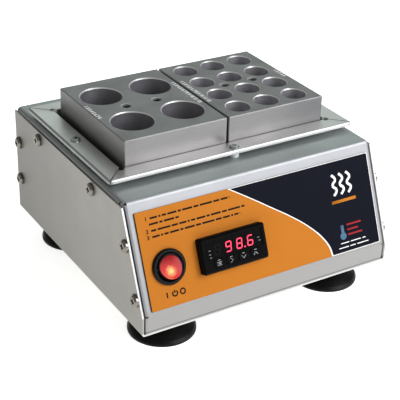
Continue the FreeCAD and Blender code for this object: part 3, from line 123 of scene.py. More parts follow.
class CaseSettings(bpy.types.PropertyGroup):
    steel: colour("Cover", "Satin sheet of the cover", 156, 157, 158)
    # painted reflection: a lighter, greener tone for the cover's level top
    deck: colour("Deck", "Level top of the cover", 157, 165, 162)
    # painted shade: a darker, warmer tone for the cover's lower front lip
    lip: colour("Lip", "Lower lip of the cover", 150, 149, 146)
    # painted light: a lighter tone for the cover's right fold and the inner faces of the side walls, lifting
    # the shade in the grooves beside them
    inner: colour("Inner faces", "Faces of the folded sheets inside the case", 192, 192, 191)
    chassis: colour("Chassis", "Satin sheet of the chassis and its side walls", 152, 149, 143)
    # painted shade: the side walls grow darker towards the back
    chassis_back: colour("Chassis back", "Side walls of the chassis towards the back", 128, 126, 121)
    # painted highlight on the cut edges at the front of the chassis
    cut: colour("Cut edges", "Bright cut edges at the front of the chassis", 206, 206, 204)
    pan: colour("Pan", "Folded sheet of the well pan", 212, 211, 208)
    # painted shade on the pan's side lips and their rounded ends
    pan_rim: colour("Pan rims", "Turned-down lips at the pan's sides", 148, 151, 149)
    # the pan's mitred seams are real; the same dark colour is painted shade in the case's joints and deep in
    # the small holes of the blocks
    seam: colour("Seams", "Mitred seams of the pan and joints of the case", 44, 44, 44)
    block: colour("Blocks", "Machined blocks", 130, 129, 128)
    # painted light: a lighter tone for the lit front walls of the blocks
    block_front: colour("Block fronts", "Front walls of the blocks", 141, 139, 138)
    # painted shade: the front walls grow darker towards their right end
    block_end: colour("Block front end", "Right end of the front walls", 112, 112, 112)
    # painted light: lighter tones for the bored walls of the large and small wells, lifting the shade inside
    # them
    bore: colour("Large wells", "Bored walls of the large wells", 166, 164, 168)
    bore_small: colour("Small wells", "Bored walls of the small wells", 200, 198, 202)
    # painted highlight on the bevels of the blocks and the wells
    edge: colour("Block edges", "Bright bevels of the blocks and wells", 218, 218, 216)
    etch: colour("Etched numbers", "Numbers etched on the blocks", 236, 236, 234)
    etch_high: length("Etched height", "Height of the etched numbers", 2.6)
    fastener: colour("Screws", "Bright plated screws and nuts", 132, 127, 118)
    pan_screw: colour("Pan screws", "Passivated screws of the pan", 176, 186, 180)
    spacer: colour("Spacers", "Moulded spacers under the pan", 226, 226, 221)
    rubber: colour("Feet", "Rubber of the suction feet", 4, 4, 4)


class LabelSettings(bpy.types.PropertyGroup):
    orange: colour("Orange", "Left field of the front label", 183, 111, 36)
    navy: colour("Navy", "Right field of the front label", 14, 16, 26)
    white: colour("White", "Lines between and round the fields", 244, 242, 236)
    ink: colour("Ink", "Marks printed on the orange field", 26, 21, 18)
    blue: colour("Blue", "Thermometer printed on the navy field", 78, 108, 134)
    red: colour("Red", "Ticks printed on the navy field", 150, 40, 46)
    print_thick: length("Print", "Thickness of one printed layer", 0.05)
    divider: length("Divider", "Width of the white line between the fields", 1.1)
    outline: length("Outline", "Width of the white line round the navy field", 0.4)
    numeral: length("Numerals", "Height of the numerals on the label", 2.4)


class ControlSettings(bpy.types.PropertyGroup):
    black: colour("Plastic", "Moulded black plastic", 6, 6, 6)
    window: colour("Window", "Dark window over the digits", 7, 6, 7)
    lit: colour("Lit digits", "Light of the digits", 248, 66, 96)
    unlit: colour("Unlit digits", "Segments that are off", 20, 17, 16)
    legend: colour("Key marks", "Marks on the keys", 196, 196, 200)
    reading: StringProperty(name="Reading", description="Digits shown, blanks for unlit ones", default=" 986")
    digit_high: length("Digit height", "One seven-segment digit", 7.0)
    digit_wide: length("Digit width", "One seven-segment digit", 4.5)
    digit_pitch: length("Digit pitch", "Between digit centres", 8.15)
    lens_red: colour("Rocker", "Red lens of the rocker", 140, 24, 22)
    lens_lit: colour("Rocker lit", "Lens round its lamp", 232, 44, 42)
    lens_glow: colour("Rocker glow", "Lens close to its lamp", 250, 150, 100)
    lens_hot: colour("Rocker hot spot", "Lamp seen through the lens", 255, 232, 140)
    # painted light: a paler tone on the right of the lens
    lens_pale: colour("Rocker pale side", "Soft light on the right of the lens", 184, 74, 80)


class InsideSettings(bpy.types.PropertyGroup):
    brass: colour("Brass", "Blades and clamps", 198, 176, 118)
    glass: colour("Glass", "Tube of the fuse", 225, 228, 228)
    mat: colour("Heater mat", "Silicone of the heater", 150, 62, 44)
    fibre: colour("Insulation", "Fibre board under the heater", 228, 224, 208)
    relay: colour("Relay", "Moulded relay, terminals and cut-out", 34, 34, 36)


SETTINGS = {"heater_stage": StageSettings, "heater_case": CaseSettings, "heater_label": LabelSettings,
            "heater_control": ControlSettings, "heater_inside": InsideSettings}


def panel_matrix():
    """Frame of the sloped front: x to the right, y up the slope, z out of the label, from its middle."""
    out = -Vector(JOINTS["key_set_press"]["axis"]).normalized()
    right = Vector((1, 0, 0))
    up = out.cross(right)
    low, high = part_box("front_label")
    middle = (low + high) / 2
    turned = Matrix((right, up, out)).transposed().to_4x4()
    return Matrix.Translation((0, middle.y, middle.z)) @ turned


PANEL = panel_matrix()


def panel_box(node):
    """Lowest and highest corners of a node in the sloped front's own frame."""
    back = PANEL.inverted()
    places = [back @ vertex.co for vertex in NODES[node].data.vertices]
    return (Vector(map(min, zip(*places))), Vector(map(max, zip(*places))))


LABEL_LOW, LABEL_HIGH = panel_box("front_label")
# top edge of the label, down the slope from the deck's edge, in millimetres
LABEL_TOP = 7.8


def down(x, drop):
    """A point on the label from x and the distance down the slope from the deck's edge, in millimetres."""
    return Vector((x * MM, LABEL_HIGH.y + (LABEL_TOP - drop) * MM, 0))


def above(level, spot=(0, 0)):
    """Frame at a spot of the sloped front, at a level out of the label's middle."""
    return PANEL @ Matrix.Translation((spot[0], spot[1], level))


def made(collection, *given, **settings):
    """One new member of a collection, with its settings."""
    member = collection.new(*given)
    for name, setting in settings.items():
        setattr(member, name, setting)
    return member


def placed(name, data):
    """A new object in the scene."""
    new = bpy.data.objects.new(name, data)
    bpy.context.scene.collection.objects.link(new)
    return new


def add(tree, kind, inputs=None, **settings):
    """One shader node, with its settings, and its inputs set or linked."""
    node = made(tree.nodes, "ShaderNode" + kind, **settings)
    for name, given in (inputs or {}).items():
        if isinstance(given, bpy.types.NodeSocket):
            tree.links.new(given, node.inputs[name])
        else:
            node.inputs[name].default_value = given
    return node


def solid(shade):
    return (*shade[:3], 1.0)


def darker(shade, share):
    return tuple(part * share for part in shade[:3])


def mix(tree, share, first, second):
    """Blend of two colours, each a plain colour or a socket."""
    ends = [end if isinstance(end, bpy.types.NodeSocket) else solid(end) for end in (first, second)]
    return add(tree, "Mix", {0: share, 6: ends[0], 7: ends[1]}, data_type="RGBA").outputs[2]


def spread(tree, share, low, high):
    """Stretches a 0 to 1 mask between two values."""
    return add(tree, "MapRange", {"Value": share, "To Min": low, "To Max": high}).outputs["Result"]


def sums(tree, operation, *terms):
    """Joins numbers or sockets one after another with one operation."""
    total = terms[0]
    for term in terms[1:]:
        total = add(tree, "Math", {0: total, 1: term}, operation=operation).outputs[0]
    return total


def fade(tree, share, none, full):
    """Soft step: 0 at one value and 1 at the other."""
    return add(tree, "MapRange", {"Value": share, "From Min": none, "From Max": full},
               interpolation_type="SMOOTHSTEP").outputs["Result"]


def step(tree, along, span, start=0.0):
    """Soft step between two distances from a start, in millimetres."""
    return fade(tree, along, *(start + size * MM for size in span))


def here(tree):
    """The piece's own coordinates."""
    return add(tree, "TexCoord").outputs["Object"]


def axes(tree):
    """The piece's own x, y and z."""
    return add(tree, "SeparateXYZ", {0: here(tree)}).outputs


def towards(tree, spot, way):
    """How far a place lies along a direction."""
    return add(tree, "VectorMath", {0: spot, 1: way}, operation="DOT_PRODUCT").outputs["Value"]


def absolute(tree, along):
    return add(tree, "Math", {0: along}, operation="ABSOLUTE").outputs[0]


def apart(tree, across, along):
    """Distance from two distances square to each other."""
    return sums(tree, "POWER", sums(tree, "ADD", sums(tree, "POWER", across, 2.0),
                                    sums(tree, "POWER", along, 2.0)), 0.5)


def beyond(tree, along, low, high):
    """How far a coordinate lies inside a span, negative outside it."""
    middle, half = (low + high) / 2, (high - low) / 2
    return sums(tree, "SUBTRACT", half, absolute(tree, sums(tree, "SUBTRACT", along, middle)))


# sides of a node's box: lowest corner, highest corner or middle, and the axis
SIDES = {"left": (0, 0), "right": (1, 0), "front": (0, 1), "halfway": (2, 1), "bottom": (0, 2), "top": (1, 2)}


def zone(node, *steps, ends=None):
    """Maker of a mask over part of a node. A step names a side of the node's box, and how far along the axis
    from it, in millimetres, the mask starts and is full. The ends are its share there, if not 0 and 1."""
    def make(tree):
        low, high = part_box(node)
        marks, spots, shares = (low, high, (low + high) / 2), axes(tree), []
        for side, *span in steps:
            mark, axis = SIDES[side]
            shares.append(step(tree, spots[axis], span, marks[mark][axis]))
        whole = sums(tree, "MULTIPLY", *shares)
        return spread(tree, whole, *ends) if ends else whole
    return make


def inward(node, *span):
    """Maker of a mask by the distance in from a node's left and right sides, in millimetres."""
    def make(tree):
        low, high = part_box(node)
        return step(tree, beyond(tree, axes(tree)[0], low.x, high.x), span)
    return make


def both(*makers):
    """Maker of a mask where all of several masks meet."""
    return lambda tree: sums(tree, "MULTIPLY", *(make(tree) for make in makers))


def either(*makers):
    """Maker of a mask where any of several masks is."""
    return lambda tree: sums(tree, "MAXIMUM", *(make(tree) for make in makers))


def noise(tree, spot, scale, detail, rough=0.5, distortion=0.0):
    return add(tree, "TexNoise", {"Vector": spot, "Scale": scale, "Detail": detail, "Roughness": rough,
                                  "Distortion": distortion}).outputs[0]


# how much finer the second grain is
FINER = 3.7


def fine_grain(tree, spot, scale):
    """Fine grain without direction, as on moulded plastic, rubber and paint."""
    fine = noise(tree, spot, sums(tree, "MULTIPLY", scale, FINER), 1.0)
    mean = sums(tree, "MULTIPLY", sums(tree, "ADD", noise(tree, spot, scale, 3.0), fine), 0.5)
    return spread(tree, mean, -0.6, 1.6)


def rolled_lines(tree, spot, scale, stretch):
    """Fine lines along the sheet, as rolling and brushing leave them."""
    drawn = add(tree, "VectorMath", {0: spot, 1: stretch}, operation="MULTIPLY").outputs[0]
    return spread(tree, noise(tree, drawn, scale, 4.0, 0.65), -0.5, 1.5)


def handling(tree, spot, scale):
    """Soft patches where a surface has been wiped and handled."""
    return fade(tree, noise(tree, spot, scale, 5.0, 0.6, 0.4), 0.3, 0.7)


# inputs of the effects above, in order
EFFECT_INPUTS = (("Vector", "Vector"), ("Scale", "Float"), ("Stretch", "Vector"))
made_groups = {}


def group(make, count):
    """A node group of an effect that takes so many inputs."""
    tree = bpy.data.node_groups.new(make.__name__, "ShaderNodeTree")
    for name, kind in EFFECT_INPUTS[:count]:
        tree.interface.new_socket(name, in_out="INPUT", socket_type="NodeSocket" + kind)
    tree.interface.new_socket("Marks", in_out="OUTPUT", socket_type="NodeSocketFloat")
    start, end = tree.nodes.new("NodeGroupInput"), tree.nodes.new("NodeGroupOutput")
    tree.links.new(make(tree, *start.outputs[:count]), end.inputs[0])
    return tree


def effect(tree, make, *given):
    """Places an effect in a material as a shared group, on the piece's own coordinates."""
    inputs = dict(enumerate((here(tree), *given)))
    if make not in made_groups:
        made_groups[make] = group(make, len(inputs))
    return add(tree, "Group", inputs, node_tree=made_groups[make]).outputs[0]


def blank(name):
    material = made(bpy.data.materials, name, use_nodes=True)
    material.node_tree.nodes.clear()
    return material, material.node_tree


def surface(tree, inputs):
    """Ends a material with its shader."""
    shader = add(tree, "BsdfPrincipled", inputs)
    tree.links.new(shader.outputs["BSDF"], add(tree, "OutputMaterial").inputs["Surface"])


# depth of the relief in the finishes, in millimetres
RELIEF = 0.02


def finish(name, shade, rough, scale, stretch=None, vary=0.12, bump=0.1, patch=40.0, masks=(), **constants):
    """A surface in one colour: fine grain, or lines rolled along a stretch, vary the tone and the relief,
    handling varies the gloss, and masks, each a maker and a colour, paint parts of it in other colours."""
    material, tree = blank(name)
    marks = effect(tree, rolled_lines, scale, stretch) if stretch else effect(tree, fine_grain, scale)
    patches = effect(tree, handling, patch)
    tone = mix(tree, marks, darker(shade, 1 - vary), darker(shade, 1 + vary))
    worn = mix(tree, patches, tone, darker(shade, 1 - vary / 2))
    for make, other in masks:
        worn = mix(tree, make(tree), worn, mix(tree, marks, darker(other, 1 - vary), other))
    relief = add(tree, "Bump", {"Height": marks, "Strength": bump, "Distance": RELIEF * MM}).outputs["Normal"]
    named = {key.replace("_", " ").title().replace("Ior", "IOR"): given for key, given in constants.items()}
    surface(tree, {"Base Color": worn, "Roughness": spread(tree, patches, *rough), "Normal": relief, **named})
    return material


def dress(material, *names):
    """Gives CAD nodes a finish."""
    for name in names:
        NODES[name].material_slots[0].material = material


def shaped(name, shape, material):
    """Makes a finished bmesh an object."""
    mesh = bpy.data.meshes.new(name)
    shape.to_mesh(mesh)
    shape.free()
    mesh.materials.append(material)
    return placed(name, mesh)


# corners closer than this are one, in metres
SAME = 1e-6


def lay(name, curve, place, material, body, flatten=1.0):
    """Makes a flat curve or a text a closed mesh in its place, as a piece that rides on a body."""
    maker = placed(name + "_curve", curve)
    bpy.context.view_layer.update()
    mesh = bpy.data.meshes.new_from_object(maker)
    bpy.data.objects.remove(maker)
    bpy.data.curves.remove(curve)
    shape = bmesh.new()
    shape.from_mesh(mesh)
    bpy.data.meshes.remove(mesh)
    bmesh.ops.remove_doubles(shape, verts=shape.verts, dist=SAME)
    bmesh.ops.transform(shape, matrix=place @ Matrix.Diagonal((1, 1, flatten, 1)), verts=shape.verts)
    bmesh.ops.recalc_face_normals(shape, faces=shape.faces)
    piece = shaped(name, shape, material)
    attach(piece, body)


def draw_line(curve, points, closed):
    """Adds a line through points, each (place, smooth), to a curve."""
    spline = made(curve.splines, "BEZIER", use_cyclic_u=closed)
    spline.bezier_points.add(len(points) - 1)
    for point, (place, smooth) in zip(spline.bezier_points, points):
        point.co = (place[0], place[1], 0)
        point.handle_left_type = point.handle_right_type = "AUTO" if smooth else "VECTOR"


def field_curve(outlines, thick):
    """A flat curve of closed outlines of points, each (place, smooth)."""
    curve = made(bpy.data.curves, "field", "CURVE", dimensions="2D", fill_mode="BOTH", extrude=thick / 2,
                 resolution_u=10)
    for outline in outlines:
        draw_line(curve, outline, True)
    return curve


def stroke_curve(strokes, width):
    """Round strokes, each (places, smooth), to be flattened to a print."""
    curve = made(bpy.data.curves, "stroke", "CURVE", dimensions="3D", bevel_depth=width / 2,
                 bevel_resolution=2, use_fill_caps=True, resolution_u=8)
    for stroke, smooth in strokes:
        draw_line(curve, [(place, smooth) for place in stroke], False)
    return curve


# height of a figure as a share of the font's size
FIGURE_SHARE = 0.7


def text_curve(figures, high, thick, bold):
    return made(bpy.data.curves, "text", "FONT", body=figures, size=high / FIGURE_SHARE, extrude=thick / 2,
                offset=bold, align_x="CENTER", align_y="CENTER", resolution_u=3)


def corners(*places):
    return [(place, False) for place in places]


def bends(*places):
    return [(place, True) for place in places]


def bar(low, high):
    return corners((low[0], low[1]), (high[0], low[1]), (high[0], high[1]), (low[0], high[1]))


def dash(start, end, drop, half):
    """A bar on the label, by its ends, its distance down the slope and half its height, in millimetres."""
    return bar(down(start, drop + half), down(end, drop - half))


def ring(middle, reach, turns):
    """Points round a middle, at turns in degrees, anticlockwise from the right."""
    return [middle + reach * Vector((math.cos(turn), math.sin(turn), 0)) for turn in map(math.radians, turns)]


class HEATER_OT_stage(bpy.types.Operator):
    """Floor, soft light and camera"""
    bl_idname = "heater.stage"
    bl_label = "Stage"

    # softboxes: name, place, width and height, and the point that they face, in metres
    SOFTBOXES = (("front", (0.6, -0.95, 0.72), 1.2, 0.8), ("high", (0.62, -0.64, 1.0), 0.6, 0.45),
                 ("back", (0.62, 0.95, 0.7), 1.2, 0.8))
    LIT_POINT = Vector((0, 0, 0.06))
    # point that the camera faces, width of its frame, and gap under the feet, in millimetres
    AIM = Vector((-7.79, -18.07, 55.45))
    FRAME_WIDE = 36
    FLOOR_GAP = 0.2
    # tone of the floor's darkest specks
    SPECK = 0.985

    def execute(self, context):
        look = context.scene.heater_stage
        context.scene.view_settings.view_transform = "Standard"
        self.make_floor(look)
        self.make_light(context, look)
        self.make_camera(context, look)
        return {"FINISHED"}

    def make_floor(self, look):
        shape = bmesh.new()
        bmesh.ops.create_grid(shape, x_segments=1, y_segments=1, size=look.floor_size / 2)
        bmesh.ops.translate(shape, vec=(0, 0, CAD_BOX[0][2] - self.FLOOR_GAP * MM), verts=shape.verts)
        material, tree = blank("pale_floor")
        specks = effect(tree, fine_grain, 400.0)
        tone = mix(tree, specks, darker(look.floor_colour, self.SPECK), look.floor_colour)
        surface(tree, {"Base Color": tone, "Roughness": 0.9, "Specular IOR Level": 0.1,
                       "Emission Color": tone, "Emission Strength": look.floor_glow})
        floor = shaped("floor", shape, material)

    def make_light(self, context, look):
        world = made(bpy.data.worlds, "studio", use_nodes=True)
        room = world.node_tree.nodes["Background"]
        room.inputs["Color"].default_value = solid(look.room_colour)
        room.inputs["Strength"].default_value = look.room_strength
        context.scene.world = world
        for name, place, wide, high in self.SOFTBOXES:
            light = made(bpy.data.lights, "softbox_" + name, "AREA", shape="RECTANGLE", size=wide,
                         size_y=high, energy=getattr(look, name + "_strength"),
                         color=look.back_colour if name == "back" else look.softbox_colour)
            lamp = placed(light.name, light)
            lamp.location = place
            lamp.rotation_euler = (self.LIT_POINT - lamp.location).to_track_quat("-Z", "Y").to_euler()

    def make_camera(self, context, look):
        back = Vector((math.sin(look.swing) * math.cos(look.climb),
                       -math.cos(look.swing) * math.cos(look.climb), math.sin(look.climb)))
        right = (-back).cross(Vector((0, 0, 1))).normalized()
        up = right.cross(-back)
        turned = Matrix((right * math.cos(look.roll) + up * math.sin(look.roll),
                         up * math.cos(look.roll) - right * math.sin(look.roll), back)).transposed()
        data = made(bpy.data.cameras, "camera", sensor_width=self.FRAME_WIDE, lens=look.lens, clip_start=0.05,
                    clip_end=20)
        camera = placed("camera", data)
        camera.matrix_world = Matrix.Translation(self.AIM * MM + look.distance * back) @ turned.to_4x4()
        context.scene.camera = camera


# where the painted shade on the side walls starts, as a share of their depth
BACK_START = 0.3
# painted highlight on the cut edge along the sloped front: where it starts and is full, in millimetres
SLOPE_HIGHLIGHT = (-0.3, -0.1)


def towards_back(tree):
    """Painted shade that grows along the side walls towards the back."""
    low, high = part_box("base_chassis")
    return fade(tree, axes(tree)[1], low.y + BACK_START * (high.y - low.y), high.y)


def slope_edge(tree):
    """Painted highlight on the cut edges of the chassis along the sloped front."""
    out = PANEL.col[2].to_3d()
    edge = panel_box("base_chassis")[1].z + PANEL.translation.dot(out)
    return step(tree, towards(tree, here(tree), out), SLOPE_HIGHLIGHT, edge)


# painted parts of the two sheets: painted reflection, painted light, painted shade and painted highlights
# painted reflection on the cover's level top
DECK_REFLECTION = zone("cover", ("top", -0.5, -0.2))
# painted shade on the cover's lower front lip
LIP_SHADE = zone("cover", ("bottom", 17, 14), ("front", 40, 20))
# painted light on the cover's right fold, lifting the shade in the groove beside the right side wall
RIGHT_FOLD_LIGHT = zone("cover", ("right", -1.6, -0.8))
# painted shade of the joint beside the left side wall, softer along the deck
JOINT_SHADE = both(zone("cover", ("left", 1.4, 1.0)), zone("cover", ("top", -4, -2), ends=(1.0, 0.35)))
# painted shade of the gap along the lip's lower edge
LOWER_LINE_SHADE = zone("cover", ("bottom", 0.6, 0.9), ("bottom", 1.6, 1.3), ends=(0.0, 0.6))
# painted light on the inner faces of the chassis side walls, lifting the shade in the grooves
INNER_WALLS_LIGHT = both(inward("base_chassis", 0.9, 1.1), zone("base_chassis", ("bottom", 2, 4)))
# painted highlights on the chassis's cut edges along the sloped front and at the front
CUT_EDGE_HIGHLIGHTS = either(slope_edge, zone("base_chassis", ("front", 0.3, 0.1)))


class HEATER_OT_case(bpy.types.Operator):
    """Satin sheet of the case, its screws and its feet"""
    bl_idname = "heater.case"
    bl_label = "Case"

    def execute(self, context):
        look = context.scene.heater_case
        cover = ((DECK_REFLECTION, look.deck), (LIP_SHADE, look.lip), (RIGHT_FOLD_LIGHT, look.inner), (JOINT_SHADE, look.seam),
                 (LOWER_LINE_SHADE, look.seam))
        chassis = ((towards_back, look.chassis_back), (INNER_WALLS_LIGHT, look.inner), (CUT_EDGE_HIGHLIGHTS, look.cut))
        for node, shade, metal, masks in (("cover", look.steel, 0.6, cover),
                                          ("base_chassis", look.chassis, 0.7, chassis)):
            dress(finish(node + "_sheet", shade, (0.41, 0.45), 1500.0, (0.03, 0.03, 1.0), vary=0.04,
                         bump=0.06, masks=masks, metallic=metal), node)
        for name, shade, rough, nodes in (("plated_steel", look.fastener, (0.14, 0.22), FASTENERS),
                                          ("passivated_steel", look.pan_screw, (0.2, 0.3), ["pan_screws"])):
            dress(finish(name, shade, rough, 1500.0, vary=0.08, bump=0.05, patch=300.0, metallic=1.0), *nodes)
        dress(finish("foot_rubber", look.rubber, (0.34, 0.44), 1800.0, vary=0.25, bump=0.12, patch=90.0,
                     specular_ior_level=0.16), *FEET)
        return {"FINISHED"}


class HEATER_OT_label(bpy.types.Operator):
    """Two-tone front label with its printed marks"""
    bl_idname = "heater.label"
    bl_label = "Front label"

    # in millimetres: places are across and down the slope from the deck's edge, strokes (width, flatness)
    DIVIDER = ((-22.2, 7.6), (-8.2, 16.5), (5.9, 25.9), (21.5, 36.5), (34.3, 46.7), (43.6, 56.7),
               (48.0, 64.3), (49.6, 71.6))
    # radius of the plate's corners, and a strip at its left edge where the dark plate shows as painted shade,
    # in millimetres
    CORNER, BORDER = 1.0, 0.35
    # hole under the switch, as a share of its bezel
    HOLE_SHARE = 0.9
    # usage lines: numeral or none, start, end, down the slope
    LINES = (("1", -83.4, -21.4, 14.2), (None, -80.6, -59.4, 17.9), ("2", -83.9, -11.3, 22.1),
             ("3", -83.9, -15.5, 26.0))
    LINE_RISE, NUMERAL_IN, NUMERAL_BOLD, INDENT = 1.1, 1.2, 0.12, 4.0
    # lengths of the bars in a line, and how many of them the next line skips
    BARS, BARS_SKIPPED = (5.2, 1.4, 3.0, 6.4, 2.2, 7.2, 3.6, 9.0, 4.4), 3
    BAR_GAP, BAR_HALF = 1.0, 0.6
    # switch symbols, with the stem in shares of the radius and the rings in degrees
    SYMBOLS, SYMBOL_REACH, SYMBOL_PITCH, SYMBOL_STROKE = (-71.5, 63.1), 1.7, 5.6, (1.0, 0.2)
    STEM, OPEN_RING, FULL_RING = (0.2, 1.25), range(50, -231, -20), range(90, -271, -24)
    # heat waves, from the foot of the middle one, and the ends of the bar below
    WAVES, WAVE_PITCH, WAVE_SWING, WAVE_RISE, WAVE_BENDS = (66.0, 31.2), 6.0, 1.3, 3.6, 5
    WAVE_STROKE, HEAT_STROKE, HEAT_BAR = (1.9, 0.06), (2.2, 0.06), (down(56.0, 35.6), down(76.0, 35.6))
    # thermometer
    TUBE, TUBE_STROKE = (down(61.0, 52.0), down(61.0, 58.6)), (2.6, 0.05)
    BULB, BULB_REACH, BULB_THICK = (61.0, 59.6), 2.5, 0.2
    # its ticks: down the slope, and end; the short lines below: down the slope, start and end
    TICK_START, TICK_HALF, TICK_THICK, SHORT_HALF = 65.0, 0.6, 0.1, 0.28
    TICKS = ((52.6, 77.0), (56.0, 74.0), (59.4, 77.0))
    SHORT_LINES = ((64.4, 58.0, 65.0), (64.4, 66.4, 75.0), (64.4, 76.4, 79.0),
                   (67.4, 56.0, 64.0), (67.4, 65.4, 70.0), (67.4, 71.4, 81.0))

    def execute(self, context):
        look = context.scene.heater_label
        thick = look.print_thick
        face = LABEL_HIGH.z
        orange, white, navy, black = (self.ink("label_" + name, getattr(look, name))
                                      for name in ("orange", "white", "navy", "ink"))
        # the dark plate, which also shows as painted shade in the strip along its left edge
        dress(self.ink("label_edge", look.ink), "front_label")
        self.print_whole("label_orange_field", face + thick / 2, thick, orange)
        self.print_right("label_white_field", 0, 0, face + thick, thick * 2, white)
        self.print_right("label_navy_field", look.outline, look.divider, face + 1.5 * thick, thick * 3, navy)
        self.usage(look, black, face + 1.5 * thick)
        self.switch_marks(black, face + thick)
        self.heat_mark(white, orange, face + 3 * thick)
        self.gauge_mark(look, white, face + 3 * thick)
        return {"FINISHED"}

    def ink(self, name, shade):
        return finish(name, shade, (0.42, 0.55), 900.0, vary=0.04, bump=0.03, patch=60.0,
                      specular_ior_level=0.04)

    def fill(self, name, outlines, thick, level, material):
        lay(name, field_curve(outlines, thick), above(level), material, "case")

    def trace(self, name, strokes, stroke, level, material):
        width, flatness = stroke
        lay(name, stroke_curve(strokes, width * MM), above(level), material, "case", flatness)

    def corner(self, x, y, start):
        """Quarter turn of the label's corner round a point, as the outline goes anticlockwise."""
        return corners(*ring(Vector((x, y, 0)), self.CORNER * MM, range(start, start + 91, 30)))

    def print_whole(self, name, level, thick, material):
        """Print over the whole plate, with the holes for the switch and the controller left out, and a strip
        along the left edge where the dark plate shows as painted shade.
        """
        inset = self.CORNER * MM
        low = LABEL_LOW + Vector((inset + self.BORDER * MM, inset, 0))
        high = LABEL_HIGH - Vector((inset, inset, 0))
        spots = ((high.x, high.y), (low.x, high.y), (low.x, low.y), (high.x, low.y))
        plate = [point for quarter, spot in enumerate(spots) for point in self.corner(*spot, 90 * quarter)]
        low, high = panel_box("switch_housing")
        hole = bends(*ring((low + high) / 2, (high.x - low.x) / 2 * self.HOLE_SHARE, TURNS))
        cutout = bar(*panel_box("controller_housing"))
        self.fill(name, [plate, hole, cutout], thick, level, material)

    def print_right(self, name, edge, shift, level, thick, material):
        """Print from the divider to the plate's right edge."""
        line = [down(x + shift / MM, drop) for x, drop in self.DIVIDER]
        top, bottom, right = LABEL_HIGH.y - edge, LABEL_LOW.y + edge, LABEL_HIGH.x - edge
        first = line[1] + (line[0] - line[1]) * ((top - line[1].y) / (line[0].y - line[1].y))
        last = line[-2] + (line[-1] - line[-2]) * ((bottom - line[-2].y) / (line[-1].y - line[-2].y))
        inset = self.CORNER * MM
        outline = corners(first) + bends(*line[1:-1]) + corners(last)
        outline += self.corner(right - inset, bottom + inset, -90)
        outline += self.corner(right - inset, top - inset, 0)
        self.fill(name, [outline], thick, level, material)

    def usage(self, look, black, level):
        """Numbered lines of plain bars."""
        bars = []
        for number, (numeral, across, end, drop) in enumerate(self.LINES):
            middle = drop - self.LINE_RISE
            if numeral:
                figure = text_curve(numeral, look.numeral, look.print_thick, self.NUMERAL_BOLD * MM)
                place = above(level, down(across + self.NUMERAL_IN, middle))
                lay("usage_numeral_" + numeral, figure, place, black, "case")
                across += self.INDENT
            turn = number * self.BARS_SKIPPED
            while across < end:
                long = min(self.BARS[turn % len(self.BARS)], end - across)
                bars.append(dash(across, across + long, middle, self.BAR_HALF))
                across += long + self.BAR_GAP
                turn += 1
        self.fill("usage_bars", bars, look.print_thick, level, black)

    def switch_marks(self, black, level):
        """Symbols for on, standby and off."""
        middle, reach = down(*self.SYMBOLS), self.SYMBOL_REACH * MM
        up, pitch = Vector((0, reach, 0)), Vector((self.SYMBOL_PITCH * MM, 0, 0))
        strokes = [(ring(middle, reach, self.OPEN_RING), True),
                   (ring(middle + pitch, reach, self.FULL_RING), True),
                   ([middle - pitch - up, middle - pitch + up], False),
                   ([middle + share * up for share in self.STEM], False)]
        self.trace("switch_symbols", strokes, self.SYMBOL_STROKE, level, black)

    def heat_mark(self, white, orange, level):
        """Three heat waves over a bar."""
        across, drop = self.WAVES
        waves = [([down(across + self.WAVE_PITCH * column + self.WAVE_SWING * (1 if bend % 2 else -1),
                        drop - self.WAVE_RISE * bend) for bend in range(self.WAVE_BENDS)], True)
                 for column in (-1, 0, 1)]
        self.trace("heat_waves", waves, self.WAVE_STROKE, level, white)
        self.trace("heat_bar", [(self.HEAT_BAR, False)], self.HEAT_STROKE, level, orange)

    def gauge_mark(self, look, white, level):
        """Small thermometer with red ticks, over short lines."""
        blue, red = self.ink("label_blue", look.blue), self.ink("label_red", look.red)
        self.trace("gauge_tube", [(self.TUBE, False)], self.TUBE_STROKE, level, blue)
        bulb = bends(*ring(down(*self.BULB), self.BULB_REACH * MM, TURNS))
        self.fill("gauge_bulb", [bulb], self.BULB_THICK * MM, level, blue)
        ticks = [dash(self.TICK_START, end, drop, self.TICK_HALF) for drop, end in self.TICKS]
        self.fill("gauge_ticks", ticks, self.TICK_THICK * MM, level, red)
        lines = [dash(start, end, drop, self.SHORT_HALF) for drop, start, end in self.SHORT_LINES]
        self.fill("gauge_lines", lines, self.TICK_THICK * MM, level, white)


